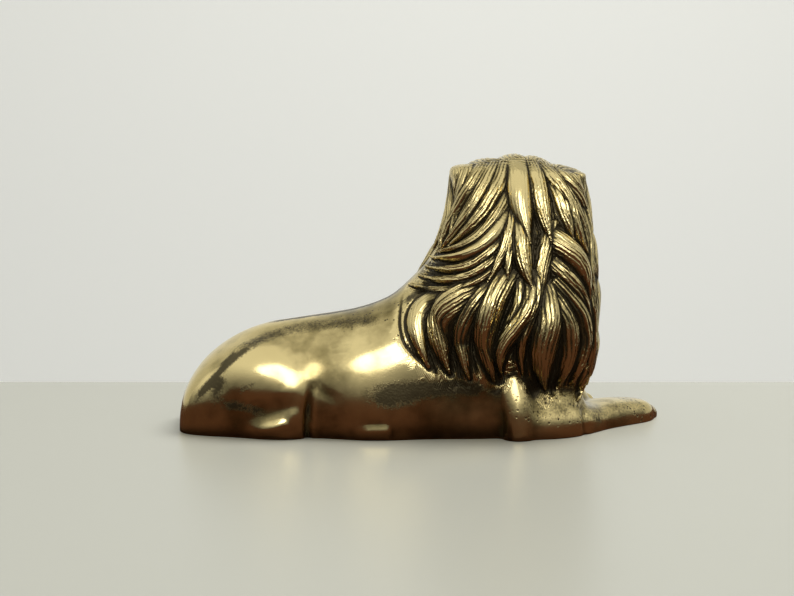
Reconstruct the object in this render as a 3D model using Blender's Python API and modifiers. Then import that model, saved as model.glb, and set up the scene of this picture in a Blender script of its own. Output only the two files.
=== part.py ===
"""Cast brass lion, lying along X with its chest towards +X and its head turned to +Y.

The figure is one casting. Its sides are called near (-Y, its right flank and the back of
its head) and far (+Y, its left flank and its face). Forms are written on a grid of 1 mm at
the size modelled, and every place and radius is scaled from it by the three overall sizes.
The underside is flat at z = 0, where it stands.
"""

import math
from collections import namedtuple

import bmesh
import bpy
import numpy as np
from mathutils import Matrix, Vector
from mathutils.bvhtree import BVHTree

LENGTH = 0.195          # rump to toe tips, along X
WIDTH = 0.085           # near elbow to far paw, along Y
HEIGHT = 0.1095         # floor to crown
VOXEL = 0.00095         # grid on which the forms are fused
TRIANGLES = 9200        # faces kept in the finished solid
LOCK_RISE = 0.0022      # how far a lock of the mane stands out
STRAND_DEPTH = 0.0003   # cut between two strands of a lock
VALLEY = 0.0008         # how deep the mane lies between its locks
SKIRT = 1.0             # how far a lock slopes down beside itself, in half widths
LOCK_FULLNESS = 1.15    # share by which locks are wider than their spacing
SINK = 0.008            # how far the forms run on below the floor before they are cut

GRID_LENGTH, GRID_WIDTH, GRID_HEIGHT = 195, 85, 109.5
SCALE = Vector((LENGTH / GRID_LENGTH, WIDTH / GRID_WIDTH, HEIGHT / GRID_HEIGHT))
UNIT = (SCALE.x * SCALE.y * SCALE.z) ** (1 / 3)

BRASS = (0.62, 0.47, 0.20, 1)

# Torso: x, height of the back, half width
TORSO = (
    (-97.5, 6, 8), (-95, 16.3, 15), (-90, 25, 19), (-83, 32, 21.5), (-74, 37.9, 23.5),
    (-63, 42.2, 24.5), (-50, 44.4, 24), (-38, 46.2, 26.2), (-26, 48.3, 29.8), (-14, 52.6, 29.7),
    (-8, 57.4, 29.2), (-2, 63.2, 28.2), (4, 67, 27.5), (12, 67, 27), (24, 58, 26.5),
    (38, 46, 24), (48, 34, 19),
)
TORSO_WAIST = 13        # height at which the torso is widest
TORSO_ROUNDNESS = 2.1   # exponent of its section above the waist, 2 being an ellipse
TORSO_SQUARENESS = 3.6  # the same below the waist

# Mane and neck: z, left edge, right edge, near face, far face
MANE = (
    (-8, 28, 60, -8, 22), (4, 25, 62, -10, 25), (14, 18, 64.2, -16, 28), (22, 9, 65.8, -23.5, 30),
    (30, 4, 66.6, -28.5, 31.5), (40, -1, 67.2, -30, 32), (50, -3, 67.3, -29.5, 32),
    (58, -2, 67, -28.5, 31), (65, 0.6, 66.4, -27, 29), (69.5, 3, 65.9, -25.5, 27.5),
    (74, 5.4, 65.3, -24, 26), (83, 9, 63.9, -21, 23), (91, 10.8, 62.8, -18, 21),
    (98, 10.3, 63.2, -15, 19.5), (100.5, 9.8, 64.2, -13.6, 18.6), (101.6, 9.6, 64, -12.8, 18),
    (102.3, 9.6, 60.4, -12.2, 17.5), (102.9, 9.7, 57, -11.6, 17), (103.9, 10.6, 54.1, -10.6, 16),
    (104.7, 12.8, 51.7, -9.6, 15), (105.5, 18, 49.3, -8.4, 14), (106.3, 23, 46.9, -7, 12.8),
    (107.1, 27.9, 44.6, -5.6, 11.4), (107.9, 32.6, 42.2, -3.6, 9.4), (108.3, 36, 39.5, -1.8, 7.8),
)
MANE_ROUNDNESS = 2.7

Lock = namedtuple("Lock", "root tip bow wave half_width strands rise")

# Locks on the near side: root and tip as (x, z), sideways bow and S-wave, half width,
# strands and rise. A bow is to the right of a lock that hangs, and below one that runs left.
NEAR_LOCKS = (
    # Crown to the left
    Lock((16, 104.4), (9.8, 77), 0.5, 0, 3.0, 3, 0.6),
    Lock((22.5, 105.5), (5.8, 72.5), -0.8, 0, 3.0, 4, 0.8),
    Lock((28, 106.4), (6.6, 72), 1.0, 0, 3.1, 4, 0.8),
    Lock((31.5, 107), (9, 73), 3.0, 0, 3.0, 4, 0.9),
    Lock((31.5, 95), (4.8, 71), 5.6, 0, 2.7, 4, 0.9),
    Lock((32, 89), (3, 68.5), 6.4, 0, 3.2, 1, 1.2),
    Lock((32, 82), (0.8, 65), 6.4, 0, 2.7, 4, 1.1),
    Lock((31.5, 76.5), (-2, 61.5), 6.2, 0, 2.5, 4, 1.0),
    Lock((31, 71.5), (-6, 58), 6.4, 0, 2.3, 3, 0.9),
    # Crown to the right
    Lock((54.5, 102.8), (63.7, 86), 1.0, 0, 2.8, 3, 0.7),
    Lock((51, 104.2), (65, 79), 1.6, 0, 2.9, 3, 0.9),
    Lock((48.5, 105), (64, 64), 2.8, 0, 2.9, 4, 0.9),
    Lock((45.5, 106), (63, 68), 2.0, 0.8, 3.0, 4, 1.0),
    Lock((49.5, 99), (56.5, 76), 0.8, 0, 2.8, 4, 0.8),
    Lock((59, 100.8), (64, 60), 1.4, 0, 2.6, 4, 0.9),
    Lock((59.5, 96), (65.6, 44), 0.4, 0.4, 2.8, 4, 0.9),
    Lock((63.5, 68), (63.5, 18), 1.4, 0.8, 3.0, 4, 0.9),
    # Down the middle
    Lock((36, 107.6), (40, 75), -1.4, 0, 4.2, 1, 1.2),
    Lock((42, 107.2), (48, 75), -0.6, 0, 3.1, 5, 1.0),
    Lock((33.5, 89), (23, 60), 2.0, 0, 2.8, 4, 1.0),
    Lock((33.5, 87), (31, 60), -0.6, 0, 2.4, 3, 0.9),
    Lock((35, 87), (41, 57), -1.2, 0.4, 3.3, 4, 1.2),
    Lock((49, 84), (43.5, 50), -1.5, 0, 2.2, 3, 0.5),
    # Right flank of the mane
    Lock((47, 79), (62, 53), 4.4, 0, 4.4, 2, 1.5),
    Lock((49, 69), (64, 40), 3.4, 0, 3.2, 3, 0.9),
    Lock((61, 66), (60, 13), 3.8, 0, 2.9, 4, 1.1),
    # Hanging tips, from the rear forwards
    Lock((16, 58), (1.5, 27.5), -12, 0, 4.0, 1, 0.9),
    Lock((24, 61), (9.5, 25.5), -10.5, 0, 6.2, 6, 1.7),
    Lock((28, 63), (17, 23.5), -8, 0, 4.0, 5, 1.3),
    Lock((33, 66), (26, 23), -6.6, 0, 4.8, 3, 1.5),
    Lock((36, 63), (27.5, 26), 0, 1.6, 2.2, 3, 0.9),
    Lock((40, 64), (29, 23.5), -0.4, 2.9, 3.8, 3, 1.7),
    Lock((42, 66), (37.5, 25), -0.6, 1.8, 2.6, 3, 1.2),
    Lock((50, 62), (56, 20), 8.6, 0, 3.2, 4, 1.1),
    Lock((47, 59), (50.5, 19), 6.4, 0, 3.8, 5, 1.3),
    Lock((46, 60), (46.5, 18.5), -0.8, 1.2, 5.2, 6, 1.9),
)

Row = namedtuple("Row", "chart count left right top bottom lean half_width strands rise")

# Rows of like locks that hang side by side on the other sides, from the lowest up.
# left and right are x on the far side, and y on the two ends.
ROWS = (
    Row("far", 8, 16, 62, 44, 15, 6, 4.4, 4, 1.0), Row("far", 8, 12, 64, 62, 33, 8, 4.4, 4, 1.0),
    Row("front", 5, -13, 24, 46, 17, 4, 4.8, 4, 1.0),
    Row("front", 5, -11, 26, 66, 36, 4, 4.8, 4, 1.0),
    Row("front", 5, -8, 24, 84, 56, 2, 4.2, 4, 1.0),
    Row("front", 4, -5, 18, 100, 74, 2, 4.2, 4, 1.0),
    Row("back", 3, 9, 26, 76, 60, 3, 4.2, 4, 0.6), Row("back", 4, 1, 20, 101, 71, 4, 4.2, 4, 0.8),
    Row("top", 7, 22, 54, -4, 18, 10, 3.8, 4, 0.4),
)
RUFF_LOCKS = 19         # locks round the face
RUFF_CENTRE = (37, 84)  # its middle, on the far side
FACE_RADII = (15.5, 16)  # where the locks give way to the bare face

Press = namedtuple("Press", "chart spot radius height")

# Swellings and hollows of the face and ears, each on both sides of its middle line
FACE_MIDDLE = 37
FACE_PRESSES = (
    Press("far", (8.3, 90.8), 5.0, -2.0), Press("far", (8.3, 90.6), 2.9, 1.7),
    Press("far", (18.5, 97.5), 5.4, -3.0), Press("far", (3.0, 82.0), 1.6, -1.0),
)

Cut = namedtuple("Cut", "chart root tip bow wave half_width depth")

# Cut lines, with the same bow and wave as the locks, and ridges where the depth is below 0
CUTS = (
    Cut("far", (37, 82), (37, 76), 0, 0, 1.1, 1.2),
    Cut("far", (37, 76), (46.5, 73.4), 1.6, 0, 1.2, 1.6),
    Cut("far", (37, 76), (27.5, 73.4), -1.6, 0, 1.2, 1.6),
    Cut("near", (-8.5, 54.5), (0.5, 28), -5.4, 0, 1.2, 0.9),
    Cut("near", (-68, 2.5), (-46.5, 10.5), -0.6, 0, 4.6, -0.5),
    Cut("near", (-64, 3.2), (-52, 6.8), 0, 0, 2.8, -0.5),
    Cut("near", (-28, 2.6), (-12.5, 3.2), 0.4, 0, 3.8, -0.85),
    Cut("near", (-43.5, 23), (-45, -7), -0.6, 0, 2.4, 1.5),
    Cut("near", (-31, 15), (-43.5, 22), 1.0, 0, 3.4, 0.25),
    Cut("near", (-76, 7), (-46, 15), 2.0, 0, 5.0, 0.5),
    Cut("near", (62.5, 16), (63.5, -3), -1.0, 0, 2.4, 0.7),
    Cut("far", (-43, 22), (-45.5, 4), 0.8, 0, 2.6, 1.2),
    Cut("far", (64.5, 9), (67.5, -1), 0, 0, 1.2, 1.2),
    Cut("far", (61, 10), (63.5, -1), 0, 0, 1.2, 1.2),
)


def at(x, y, z):
    """A place on the design grid, in metres."""
    return Vector((x * SCALE.x, y * SCALE.y, z * SCALE.z))


def spline(rows, steps):
    """Rows of numbers joined by a smooth curve through all of them."""
    rows = np.array(rows, float)
    ends = np.vstack([2 * rows[0] - rows[1], rows, 2 * rows[-1] - rows[-2]])
    t = np.linspace(0, 1, steps, endpoint=False)[:, None]
    spans = [
        0.5 * (2 * b + (c - a) * t + (2 * a - 5 * b + 4 * c - d) * t**2
               + (3 * b - a - 3 * c + d) * t**3)
        for a, b, c, d in zip(ends, ends[1:], ends[2:], ends[3:])
    ]
    return np.vstack(spans + [rows[-1:]])


def superellipse(sides, roundness):
    """Points of a unit superellipse, as two columns."""
    angle = np.linspace(0, 2 * np.pi, sides, endpoint=False)
    c, s = np.cos(angle), np.sin(angle)
    return np.stack([np.sign(c) * abs(c) ** (2 / roundness),
                     np.sign(s) * abs(s) ** (2 / roundness)], axis=1)


def skin(bm, rings):
    """A closed body over a stack of rings of points."""
    loops = [[bm.verts.new(at(*p)) for p in ring] for ring in rings]
    for lower, upper in zip(loops, loops[1:]):
        for i, corner in enumerate(lower):
            j = (i + 1) % len(lower)
            bm.faces.new((corner, lower[j], upper[j], upper[i]))
    bm.faces.new(reversed(loops[0]))
    bm.faces.new(loops[-1])


def ball(bm, centre, radii, turn=0.0, tilt=0.0):
    """An ellipsoid, turned about Z and then tilted about Y, in degrees."""
    placed = (Matrix.Diagonal((*SCALE, 1)) @ Matrix.Translation(centre)
              @ Matrix.Rotation(math.radians(turn), 4, "Z")
              @ Matrix.Rotation(math.radians(tilt), 4, "Y")
              @ Matrix.Diagonal((*radii, 1)))
    piece = bmesh.new()
    bmesh.ops.create_uvsphere(piece, u_segments=48, v_segments=24, radius=1, matrix=placed)
    mesh = bpy.data.meshes.new("ball")
    piece.to_mesh(mesh)
    piece.free()
    bm.from_mesh(mesh)
    bpy.data.meshes.remove(mesh)


def tube(bm, stations, steps=6, flatten=1.0):
    """A limb or tail along stations of x, y, z and radius, with round ends.
    flatten squeezes its height about the floor."""
    rows = spline(stations, steps)
    curve = bpy.data.curves.new("limb", "CURVE")
    curve.dimensions = "3D"
    curve.bevel_depth = UNIT
    curve.bevel_resolution = 8
    curve.use_fill_caps = True
    line = curve.splines.new("POLY")
    line.points.add(len(rows) - 1)
    for point, (x, y, z, radius) in zip(line.points, rows):
        point.co = (*at(x, y, z), 1)
        point.radius = radius
    shape = bpy.data.objects.new("limb", curve)
    bpy.context.collection.objects.link(shape)
    mesh = bpy.data.meshes.new_from_object(
        shape.evaluated_get(bpy.context.evaluated_depsgraph_get()))
    mesh.transform(Matrix.Diagonal((1, 1, flatten, 1)))
    bm.from_mesh(mesh)
    bpy.data.objects.remove(shape)
    for x, y, z, radius in (stations[0], stations[-1]):
        ball(bm, (x, y, z * flatten), (radius, radius, radius * flatten))


def limb(bm, stations, squareness=2.8, steps=5):
    """A leg along stations of x, y, z, half width and half height, with round ends."""
    rows = spline(stations, steps)
    section = superellipse(40, squareness)
    along = unit_rows(np.gradient(rows[:, :2], axis=0))
    rings = []
    for (x, y, z, wide, high), (dx, dy) in zip(rows, along):
        rings.append([(x - dy * wide * a, y + dx * wide * a, z + high * b)
                      for a, b in section])
    skin(bm, rings)
    for x, y, z, wide, high in (stations[0], stations[-1]):
        ball(bm, (x, y, z), (wide, wide, high))


def torso(bm):
    """The body from rump to chest, an ellipse above its waist and squarer below it."""
    above = superellipse(64, TORSO_ROUNDNESS)
    under = superellipse(64, TORSO_SQUARENESS)
    section = np.where(above[:, 1:] > 0, above, under)
    below = SINK / SCALE.z
    rings = []
    for x, top, half in spline(TORSO, 4):
        waist = min(TORSO_WAIST, top * 0.6)
        lift = np.where(section[:, 1] > 0, top - waist, waist + below)
        rings.append([(x, half * a, waist + b * r) for (a, b), r in zip(section, lift)])
    skin(bm, rings)


def mane(bm):
    """The neck and head with their mane, as a stack of rounded rings."""
    section = superellipse(72, MANE_ROUNDNESS)
    rings = []
    for z, left, right, near, far in spline(MANE, 4):
        cx, cy = (left + right) / 2, (near + far) / 2
        rx, ry = (right - left) / 2, (far - near) / 2
        rings.append([(cx + rx * a, cy + ry * b, z) for a, b in section])
    skin(bm, rings)


def hindquarters(bm):
    """Haunches, knees and hind feet, and the bulge of the belly in front of them."""
    for side in (-1, 1):
        ball(bm, (-61, 12.5 * side, 17.5), (25, 15, 20.5), turn=9 * side, tilt=6)
        ball(bm, (-52, 16 * side, 15), (12, 13, 16))
        tube(bm, ((-76, 14 * side, 1, 6), (-66, 19.5 * side, 2.5, 6.5),
                  (-55, 23 * side, 3.5, 6.5), (-49, 23 * side, 4, 5.5)))
        ball(bm, (-18, 21 * side, 1), (17, 8.6, 6.5))


def forelegs(bm):
    """Shoulders and elbows, the near foreleg folded across, and the far one with its toes."""
    ball(bm, (20, -17, 30), (14, 12.5, 19))
    ball(bm, (52, 20, 6), (17, 14, 12))
    ball(bm, (20, 18, 30), (14, 12.5, 19))
    tube(bm, ((29, -14, 37, 7), (32, -19, 26, 6.6), (35.2, -24, 13, 6.2), (36, -25, 4, 6),
              (36, -25, -6, 6)))
    ball(bm, (45, -10, 3), (21, 16, 21), turn=22)
    limb(bm, ((24, -6, 4, 9, 8), (37, -14, 4, 13, 9), (50, -13, 4, 12.5, 8),
              (60, -4.5, 3, 11.5, 7.2), (67, 2, 2.6, 10.4, 6.6), (75, 9, 2.8, 10.6, 6.8),
              (84, 15.8, 2.2, 10.2, 6.6), (89, 19.3, 1.8, 8.6, 6.2), (92.5, 21.8, 1, 5.4, 4.8)),
         squareness=3.2)
    limb(bm, ((26, 19, 7, 11, 12), (38, 25, 6, 10.5, 10), (48, 33, 4, 9, 8),
              (56, 38.5, 3.5, 9, 7), (62, 42, 2.5, 8.6, 6.6)))
    for toe in range(4):
        spread = toe - 1.5
        ball(bm, (65 + 2.5 * spread, 43.5 - 3.7 * spread, 2.4), (6, 3, 5.2), turn=34)


def tail(bm):
    """The tail, laid round the far haunch, with its tuft."""
    tube(bm, ((-88, 4, 18, 4.6), (-93.5, 14, 11, 4.3), (-90, 25, 5, 3.9),
              (-79, 30.5, 3.4, 3.5), (-64, 32.5, 3.2, 3.3), (-50, 33, 3.2, 3.4),
              (-40, 33.5, 3.4, 5.2), (-31, 33, 3.2, 4.2), (-24, 31.5, 3, 1.8)))


def head(bm):
    """The face, looking to the far side, and the ears."""
    ball(bm, (37, 15, 90), (18, 18, 15.5))
    ball(bm, (37, 32, 79), (11.5, 10.5, 8.5))
    limb(bm, ((37, 22, 96, 8.5, 6), (37, 31, 92, 6.8, 5), (37, 38.5, 86, 5.8, 4.4),
              (37, 43, 82.5, 5.2, 3.4)))
    ball(bm, (37, 26.5, 98.5), (9, 6, 5))
    ball(bm, (37, 44.6, 82.4), (5.6, 3, 3.2))
    ball(bm, (37, 37.5, 69.6), (6.4, 6, 4.8))
    for side in (-1, 1):
        ball(bm, (37 + 12.5 * side, 22.5, 81), (7.5, 8.5, 10))
        ball(bm, (37 + 7 * side, 28, 72.5), (6.8, 9, 6.6))
        ball(bm, (37 + 5.2 * side, 40.5, 76.8), (6.0, 6.2, 5.2))
        ball(bm, (37 + 8 * side, 31, 96), (6.8, 3.9, 2.9), tilt=-12 * side)
        ball(bm, (37 + 11 * side, 28.5, 86), (6.4, 4.6, 3.2), tilt=16 * side)
        ball(bm, (37 + 8.8 * side, 29.6, 91), (3.6, 3.3, 2.7))
        tube(bm, ((37 + 14 * side, 7, 95, 8), (37 + 17.5 * side, 8, 98, 6.5),
                  (37 + 19.5 * side, 8, 98.4, 4)))
        ball(bm, (37 + 18.5 * side, 13, 96.2), (6.6, 5, 6.6), tilt=30 * side)


def broad_surface(places):
    """How much each place is polished smooth: the body fully, the face and toes least."""
    x, y, z = (places / np.array(SCALE)).T
    low = (z < 24) & (abs(x - 34) > 5)
    body = np.clip((12 - x) / 14, 0.12 + 0.22 * low, 1)
    face = np.clip((y - 20) / 6, 0, 1) * (z > 60)
    toes = np.clip((y - 38) / 4, 0, 1)
    paw = np.clip((x - 60) / 10, 0, 1) * (z < 20)
    return body * (1 - np.maximum(np.maximum(face, toes), 0.2 * paw))


def fused(add_forms):
    """The forms as one smooth skin."""
    bm = bmesh.new()
    for add in add_forms:
        add(bm)
    mesh = bpy.data.meshes.new("forms")
    bm.to_mesh(mesh)
    bm.free()
    shape = bpy.data.objects.new("forms", mesh)
    bpy.context.collection.objects.link(shape)
    weld = shape.modifiers.new("fuse", "REMESH")
    weld.mode = "VOXEL"
    weld.voxel_size = VOXEL
    shape.data = bpy.data.meshes.new_from_object(
        shape.evaluated_get(bpy.context.evaluated_depsgraph_get()))
    shape.modifiers.clear()
    places, _ = vertex_arrays(shape.data)
    broad = shape.vertex_groups.new(name="broad")
    for index, weight in enumerate(broad_surface(places)):
        broad.add((index,), weight, "REPLACE")
    for name, group, rounds in (("soften", "", 5), ("polish", "broad", 160)):
        smooth = shape.modifiers.new(name, "SMOOTH")
        smooth.vertex_group = group
        smooth.factor = 0.5
        smooth.iterations = rounds
    result = bpy.data.meshes.new_from_object(
        shape.evaluated_get(bpy.context.evaluated_depsgraph_get()))
    bpy.data.objects.remove(shape)
    return result


def vertex_arrays(mesh):
    """Places and normals of a mesh's vertices."""
    places = np.empty(len(mesh.vertices) * 3, np.float32)
    mesh.vertices.foreach_get("co", places)
    normals = np.empty(len(mesh.vertices) * 3, np.float32)
    mesh.vertex_normals.foreach_get("vector", normals)
    return places.reshape(-1, 3).astype(float), normals.reshape(-1, 3).astype(float)


def surface_tree(mesh):
    """The surface of a mesh, ready to be hit by rays."""
    return BVHTree.FromPolygons([v.co for v in mesh.vertices],
                                [p.vertices for p in mesh.polygons])


REACH = 0.5  # farther than any part of the figure, in metres

# Where each chart looks from, and the place on the grid of its two numbers
CHARTS = {
    "near": (Vector((0, -1, 0)), lambda a, b: (a, 0, b)),
    "far": (Vector((0, 1, 0)), lambda a, b: (a, 0, b)),
    "front": (Vector((1, 0, 0)), lambda a, b: (0, a, b)),
    "back": (Vector((-1, 0, 0)), lambda a, b: (0, a, b)),
    "top": (Vector((0, 0, 1)), lambda a, b: (a, b, 0)),
}
MIDDLE = {"near": (0, -15, 0), "far": (0, 18, 0), "front": (62, 0, 0), "back": (8, 0, 0),
          "top": (0, 0, 104)}


def chart(tree, name):
    """A way from two numbers on one side of the figure to the place and normal there,
    and whether the figure is there at all rather than beside it."""
    outward, spread = CHARTS[name]

    def place(a, b):
        start = at(*spread(a, b)) + outward * REACH
        spot, normal, _, _ = tree.ray_cast(start, -outward)
        if spot is None:
            spot, normal, _, _ = tree.find_nearest(at(*spread(a, b)) + at(*MIDDLE[name]))
            return spot, normal, False
        return spot, normal, True
    return place


def lock_path(lock, place, samples=33):
    """Places and normals down the middle of a lock, which ends where the figure does."""
    root, tip = np.array(lock.root, float), np.array(lock.tip, float)
    run = tip - root
    across = np.array((-run[1], run[0])) / np.linalg.norm(run)

    def station(t):
        shift = lock.bow * math.sin(math.pi * t) + lock.wave * math.sin(2 * math.pi * t)
        return place(*(root + run * t + across * shift))

    rows = [station(t) for t in np.linspace(0, 1, samples)]
    step = 5 * np.linalg.norm(run) / samples * UNIT
    for i in range(samples // 2, samples):
        leap = (rows[i][0] - rows[i - 1][0]).length > step
        if leap or not rows[i][2]:
            rows = [station(t) for t in np.linspace(0, (i - 1) / (samples - 1), samples)]
            break
    return np.array([row[0] for row in rows]), np.array([row[1] for row in rows])


def unit_rows(rows):
    """Each row at length 1."""
    return rows / np.maximum(np.linalg.norm(rows, axis=1, keepdims=True), 1e-12)


def by_path(places, spots, normals, half_width):
    """Which places lie by a path, how far along it, across it and off its end they are."""
    reach = half_width * (1 + SKIRT)
    near = np.all((places > spots.min(0) - reach) & (places < spots.max(0) + reach), axis=1)
    index = np.flatnonzero(near)
    if not len(index):
        return index, np.zeros(0), np.zeros(0), np.zeros(0)
    along = unit_rows(np.gradient(spots, axis=0))
    across = unit_rows(np.cross(along, normals))
    closest = np.argmin(((places[index, None] - spots[None]) ** 2).sum(2), axis=1)
    offset = places[index] - spots[closest]
    step = np.linalg.norm(np.diff(spots, axis=0), axis=1).mean()
    t = (closest + (offset * along[closest]).sum(1) / step) / (len(spots) - 1)
    side = (offset * across[closest]).sum(1)
    beyond = np.clip(abs(t - 0.5) - 0.5, 0, None) * step * (len(spots) - 1)
    depth = abs((offset * normals[closest]).sum(1))
    inside = (np.hypot(side, beyond) < reach) & (depth < 3 * half_width)
    return index[inside], np.clip(t, 0, 1)[inside], side[inside], beyond[inside]


def lock_rise(t, side, beyond, lock):
    """How far a lock lifts the places by it, how far each one is outside its edge, and how
    clear its edge is. Beside the lock, its skirt slopes down and carries the strands on."""
    half_width = lock.half_width * UNIT
    swell = 0.6 + 0.4 * np.sin(np.pi * np.clip(t * 1.1, 0, 1)) ** 0.8
    width = half_width * LOCK_FULLNESS * swell * (1 - t**4) ** 0.8
    outside = np.hypot(np.clip(abs(side) - width, 0, None), beyond) / half_width
    q = np.clip(side / np.maximum(width, 1e-9), -1, 1)
    clear = np.sin(np.pi / 2 * np.clip(t / 0.45, 0, 1))
    fade = clear * (1 - 0.5 * t**3)
    crown = (1 - abs(q) ** 1.8) ** 0.85
    wander = 0.5 * np.sin(9 * t + 2.4 * lock.root[0]) + 0.25 * np.sin(21 * t + lock.tip[1])
    strand = np.pi * lock.strands * (q + 1) / 2 + 2.5 * outside * lock.strands + wander
    groove = (1 - abs(np.sin(strand)) ** 0.6) * (lock.strands > 1)
    rise = LOCK_RISE * lock.rise * fade * crown - STRAND_DEPTH * groove * (0.4 + 0.6 * crown)
    return rise - VALLEY * np.clip(outside / SKIRT, 0, 1) ** 0.8, outside, clear


def cut_depth(t, side, beyond, cut):
    """How deep a cut line is, from end to end and from edge to edge."""
    q = np.clip(np.hypot(side, beyond) / (cut.half_width * UNIT), 0, 1)
    taper = np.clip(t / 0.4, 0, 1) * np.clip((1 - t) / 0.15, 0, 1)
    return UNIT * cut.depth * taper * (1 - q**2) ** 2


def hidden_locks():
    """The locks of the far side and the two ends, with the chart of each."""
    for row in ROWS:
        for i in range(row.count):
            share = (i + 0.5) / row.count
            root = row.left + (row.right - row.left) * share
            tip = root + row.lean * (share - 0.5) * 2
            swing = 1 if i % 2 else -1
            low = row.bottom + 4 * (i % 2)
            yield row.chart, Lock((root, row.top), (tip, low), 2.2 * swing, 1.2,
                                  row.half_width, row.strands, row.rise)
    cx, cz = RUFF_CENTRE
    for i in range(RUFF_LOCKS):
        turn = 2 * math.pi * (i + 0.5) / RUFF_LOCKS
        c, s = math.sin(turn), math.cos(turn)
        swing = 1 if c > 0 else -1
        drop = 7 * min(1, 1 - s)
        yield "far", Lock((cx + 16 * c, cz + 15 * s), (cx + 26 * c, cz + 24 * s - drop),
                          1.8 * swing, 0, 3.6, 3, 1)


def bare_face(places):
    """How much each place belongs to the bare face, where no lock grows."""
    x = (places[:, 0] / SCALE.x - RUFF_CENTRE[0]) / FACE_RADII[0]
    z = (places[:, 2] / SCALE.z - RUFF_CENTRE[1]) / FACE_RADII[1]
    edge = np.clip((1.12 - np.hypot(x, z)) / 0.12, 0, 1)
    return edge * (places[:, 1] / SCALE.y > 20)


def carve(mesh):
    """Raises the locks of the mane on the fused skin, and presses in the finer forms."""
    places, normals = vertex_arrays(mesh)
    tree = surface_tree(mesh)
    lift = np.full(len(places), -VALLEY)
    edge = np.full(len(places), SKIRT)
    sharp = np.zeros(len(places))
    cover = np.zeros(len(places))
    for name, lock in list(hidden_locks()) + [("near", lock) for lock in NEAR_LOCKS]:
        spots, facing = lock_path(lock, chart(tree, name))
        index, t, side, beyond = by_path(places, spots, facing, lock.half_width * UNIT)
        rise, outside, clear = lock_rise(t, side, beyond, lock)
        lift[index] = np.maximum(lift[index], rise)
        sharp[index] = np.where(outside < edge[index], clear, sharp[index])
        edge[index] = np.minimum(edge[index], outside)
        cover[index] += np.clip((SKIRT - outside) / (0.5 * SKIRT), 0, 1)
    groove = VALLEY * 0.5 * sharp * np.clip(1 - abs(edge - 0.15) / 0.2, 0, 1)
    amid = np.clip(cover - 1, 0, 1)
    lift = np.where(edge > 0, lift * amid - groove * (1 - amid), lift)
    lift *= 1 - bare_face(places)
    for cut in CUTS:
        spots, facing = lock_path(cut, chart(tree, cut.chart))
        index, t, side, beyond = by_path(places, spots, facing, cut.half_width * UNIT)
        lift[index] -= cut_depth(t, side, beyond, cut)
    for press in FACE_PRESSES:
        for side in (-1, 1):
            a, b = press.spot
            spot, _, _ = chart(tree, press.chart)(FACE_MIDDLE + a * side, b)
            near = np.linalg.norm(places - np.array(spot), axis=1) / (press.radius * UNIT)
            lift += press.height * UNIT * np.clip(1 - near**2, 0, 1) ** 2
    places += normals * lift[:, None]
    mesh.vertices.foreach_set("co", places.astype(np.float32).ravel())
    mesh.update()


def cut_flat_below(mesh):
    """Cuts the figure off at the floor, with one flat face there."""
    bm = bmesh.new()
    bm.from_mesh(mesh)
    everything = bm.verts[:] + bm.edges[:] + bm.faces[:]
    cut = bmesh.ops.bisect_plane(bm, geom=everything, plane_co=(0, 0, 0),
                                 plane_no=(0, 0, 1), clear_inner=True)
    rim = [e for e in cut["geom_cut"] if isinstance(e, bmesh.types.BMEdge)]
    bmesh.ops.holes_fill(bm, edges=rim, sides=0)
    bm.to_mesh(mesh)
    bm.free()


def brass():
    """Plain polished brass."""
    material = bpy.data.materials.new("brass")
    material.use_nodes = True
    shader = material.node_tree.nodes["Principled BSDF"]
    shader.inputs["Base Color"].default_value = BRASS
    shader.inputs["Metallic"].default_value = 1
    shader.inputs["Roughness"].default_value = 0.25
    return material


def thinned(mesh):
    """The mesh with only as many triangles as the solid needs."""
    shape = bpy.data.objects.new("carved", mesh)
    bpy.context.collection.objects.link(shape)
    mesh.calc_loop_triangles()
    fewer = shape.modifiers.new("fewer faces", "DECIMATE")
    fewer.ratio = min(1, TRIANGLES / len(mesh.loop_triangles))
    fewer.use_collapse_triangulate = True
    result = bpy.data.meshes.new_from_object(
        shape.evaluated_get(bpy.context.evaluated_depsgraph_get()))
    bpy.data.objects.remove(shape)
    return result


def centred(mesh):
    """Puts the middle of the figure's outline over the origin."""
    places, _ = vertex_arrays(mesh)
    middle = (places.min(0) + places.max(0)) / 2
    mesh.transform(Matrix.Translation((-middle[0], -middle[1], 0)))


def main():
    for old in list(bpy.data.objects):
        bpy.data.objects.remove(old)
    collection = bpy.data.collections.new("lion figurine")
    bpy.context.scene.collection.children.link(collection)
    mesh = fused((torso, mane, hindquarters, forelegs, tail, head))
    carve(mesh)
    mesh = thinned(mesh)
    cut_flat_below(mesh)
    centred(mesh)
    mesh.name = "lion"
    mesh.materials.clear()
    mesh.materials.append(brass())
    mesh.shade_smooth()
    collection.objects.link(bpy.data.objects.new("lion", mesh))


main()
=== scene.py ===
"""A cast brass lion lying down, as a finely carved mesh in place of its plain solid.

The figure is one casting. Its sides are called near (its right flank and the back of its
head) and far (its left flank and its face). Forms are written on a grid of 1 mm at the size
modelled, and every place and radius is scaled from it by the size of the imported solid.
"""

import math
from collections import namedtuple

import bmesh
import bpy
import numpy as np
from bpy.props import FloatProperty, FloatVectorProperty, IntProperty, PointerProperty
from bpy.types import Operator, Panel, PropertyGroup
from mathutils import Matrix, Vector, noise
from mathutils.bvhtree import BVHTree


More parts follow.
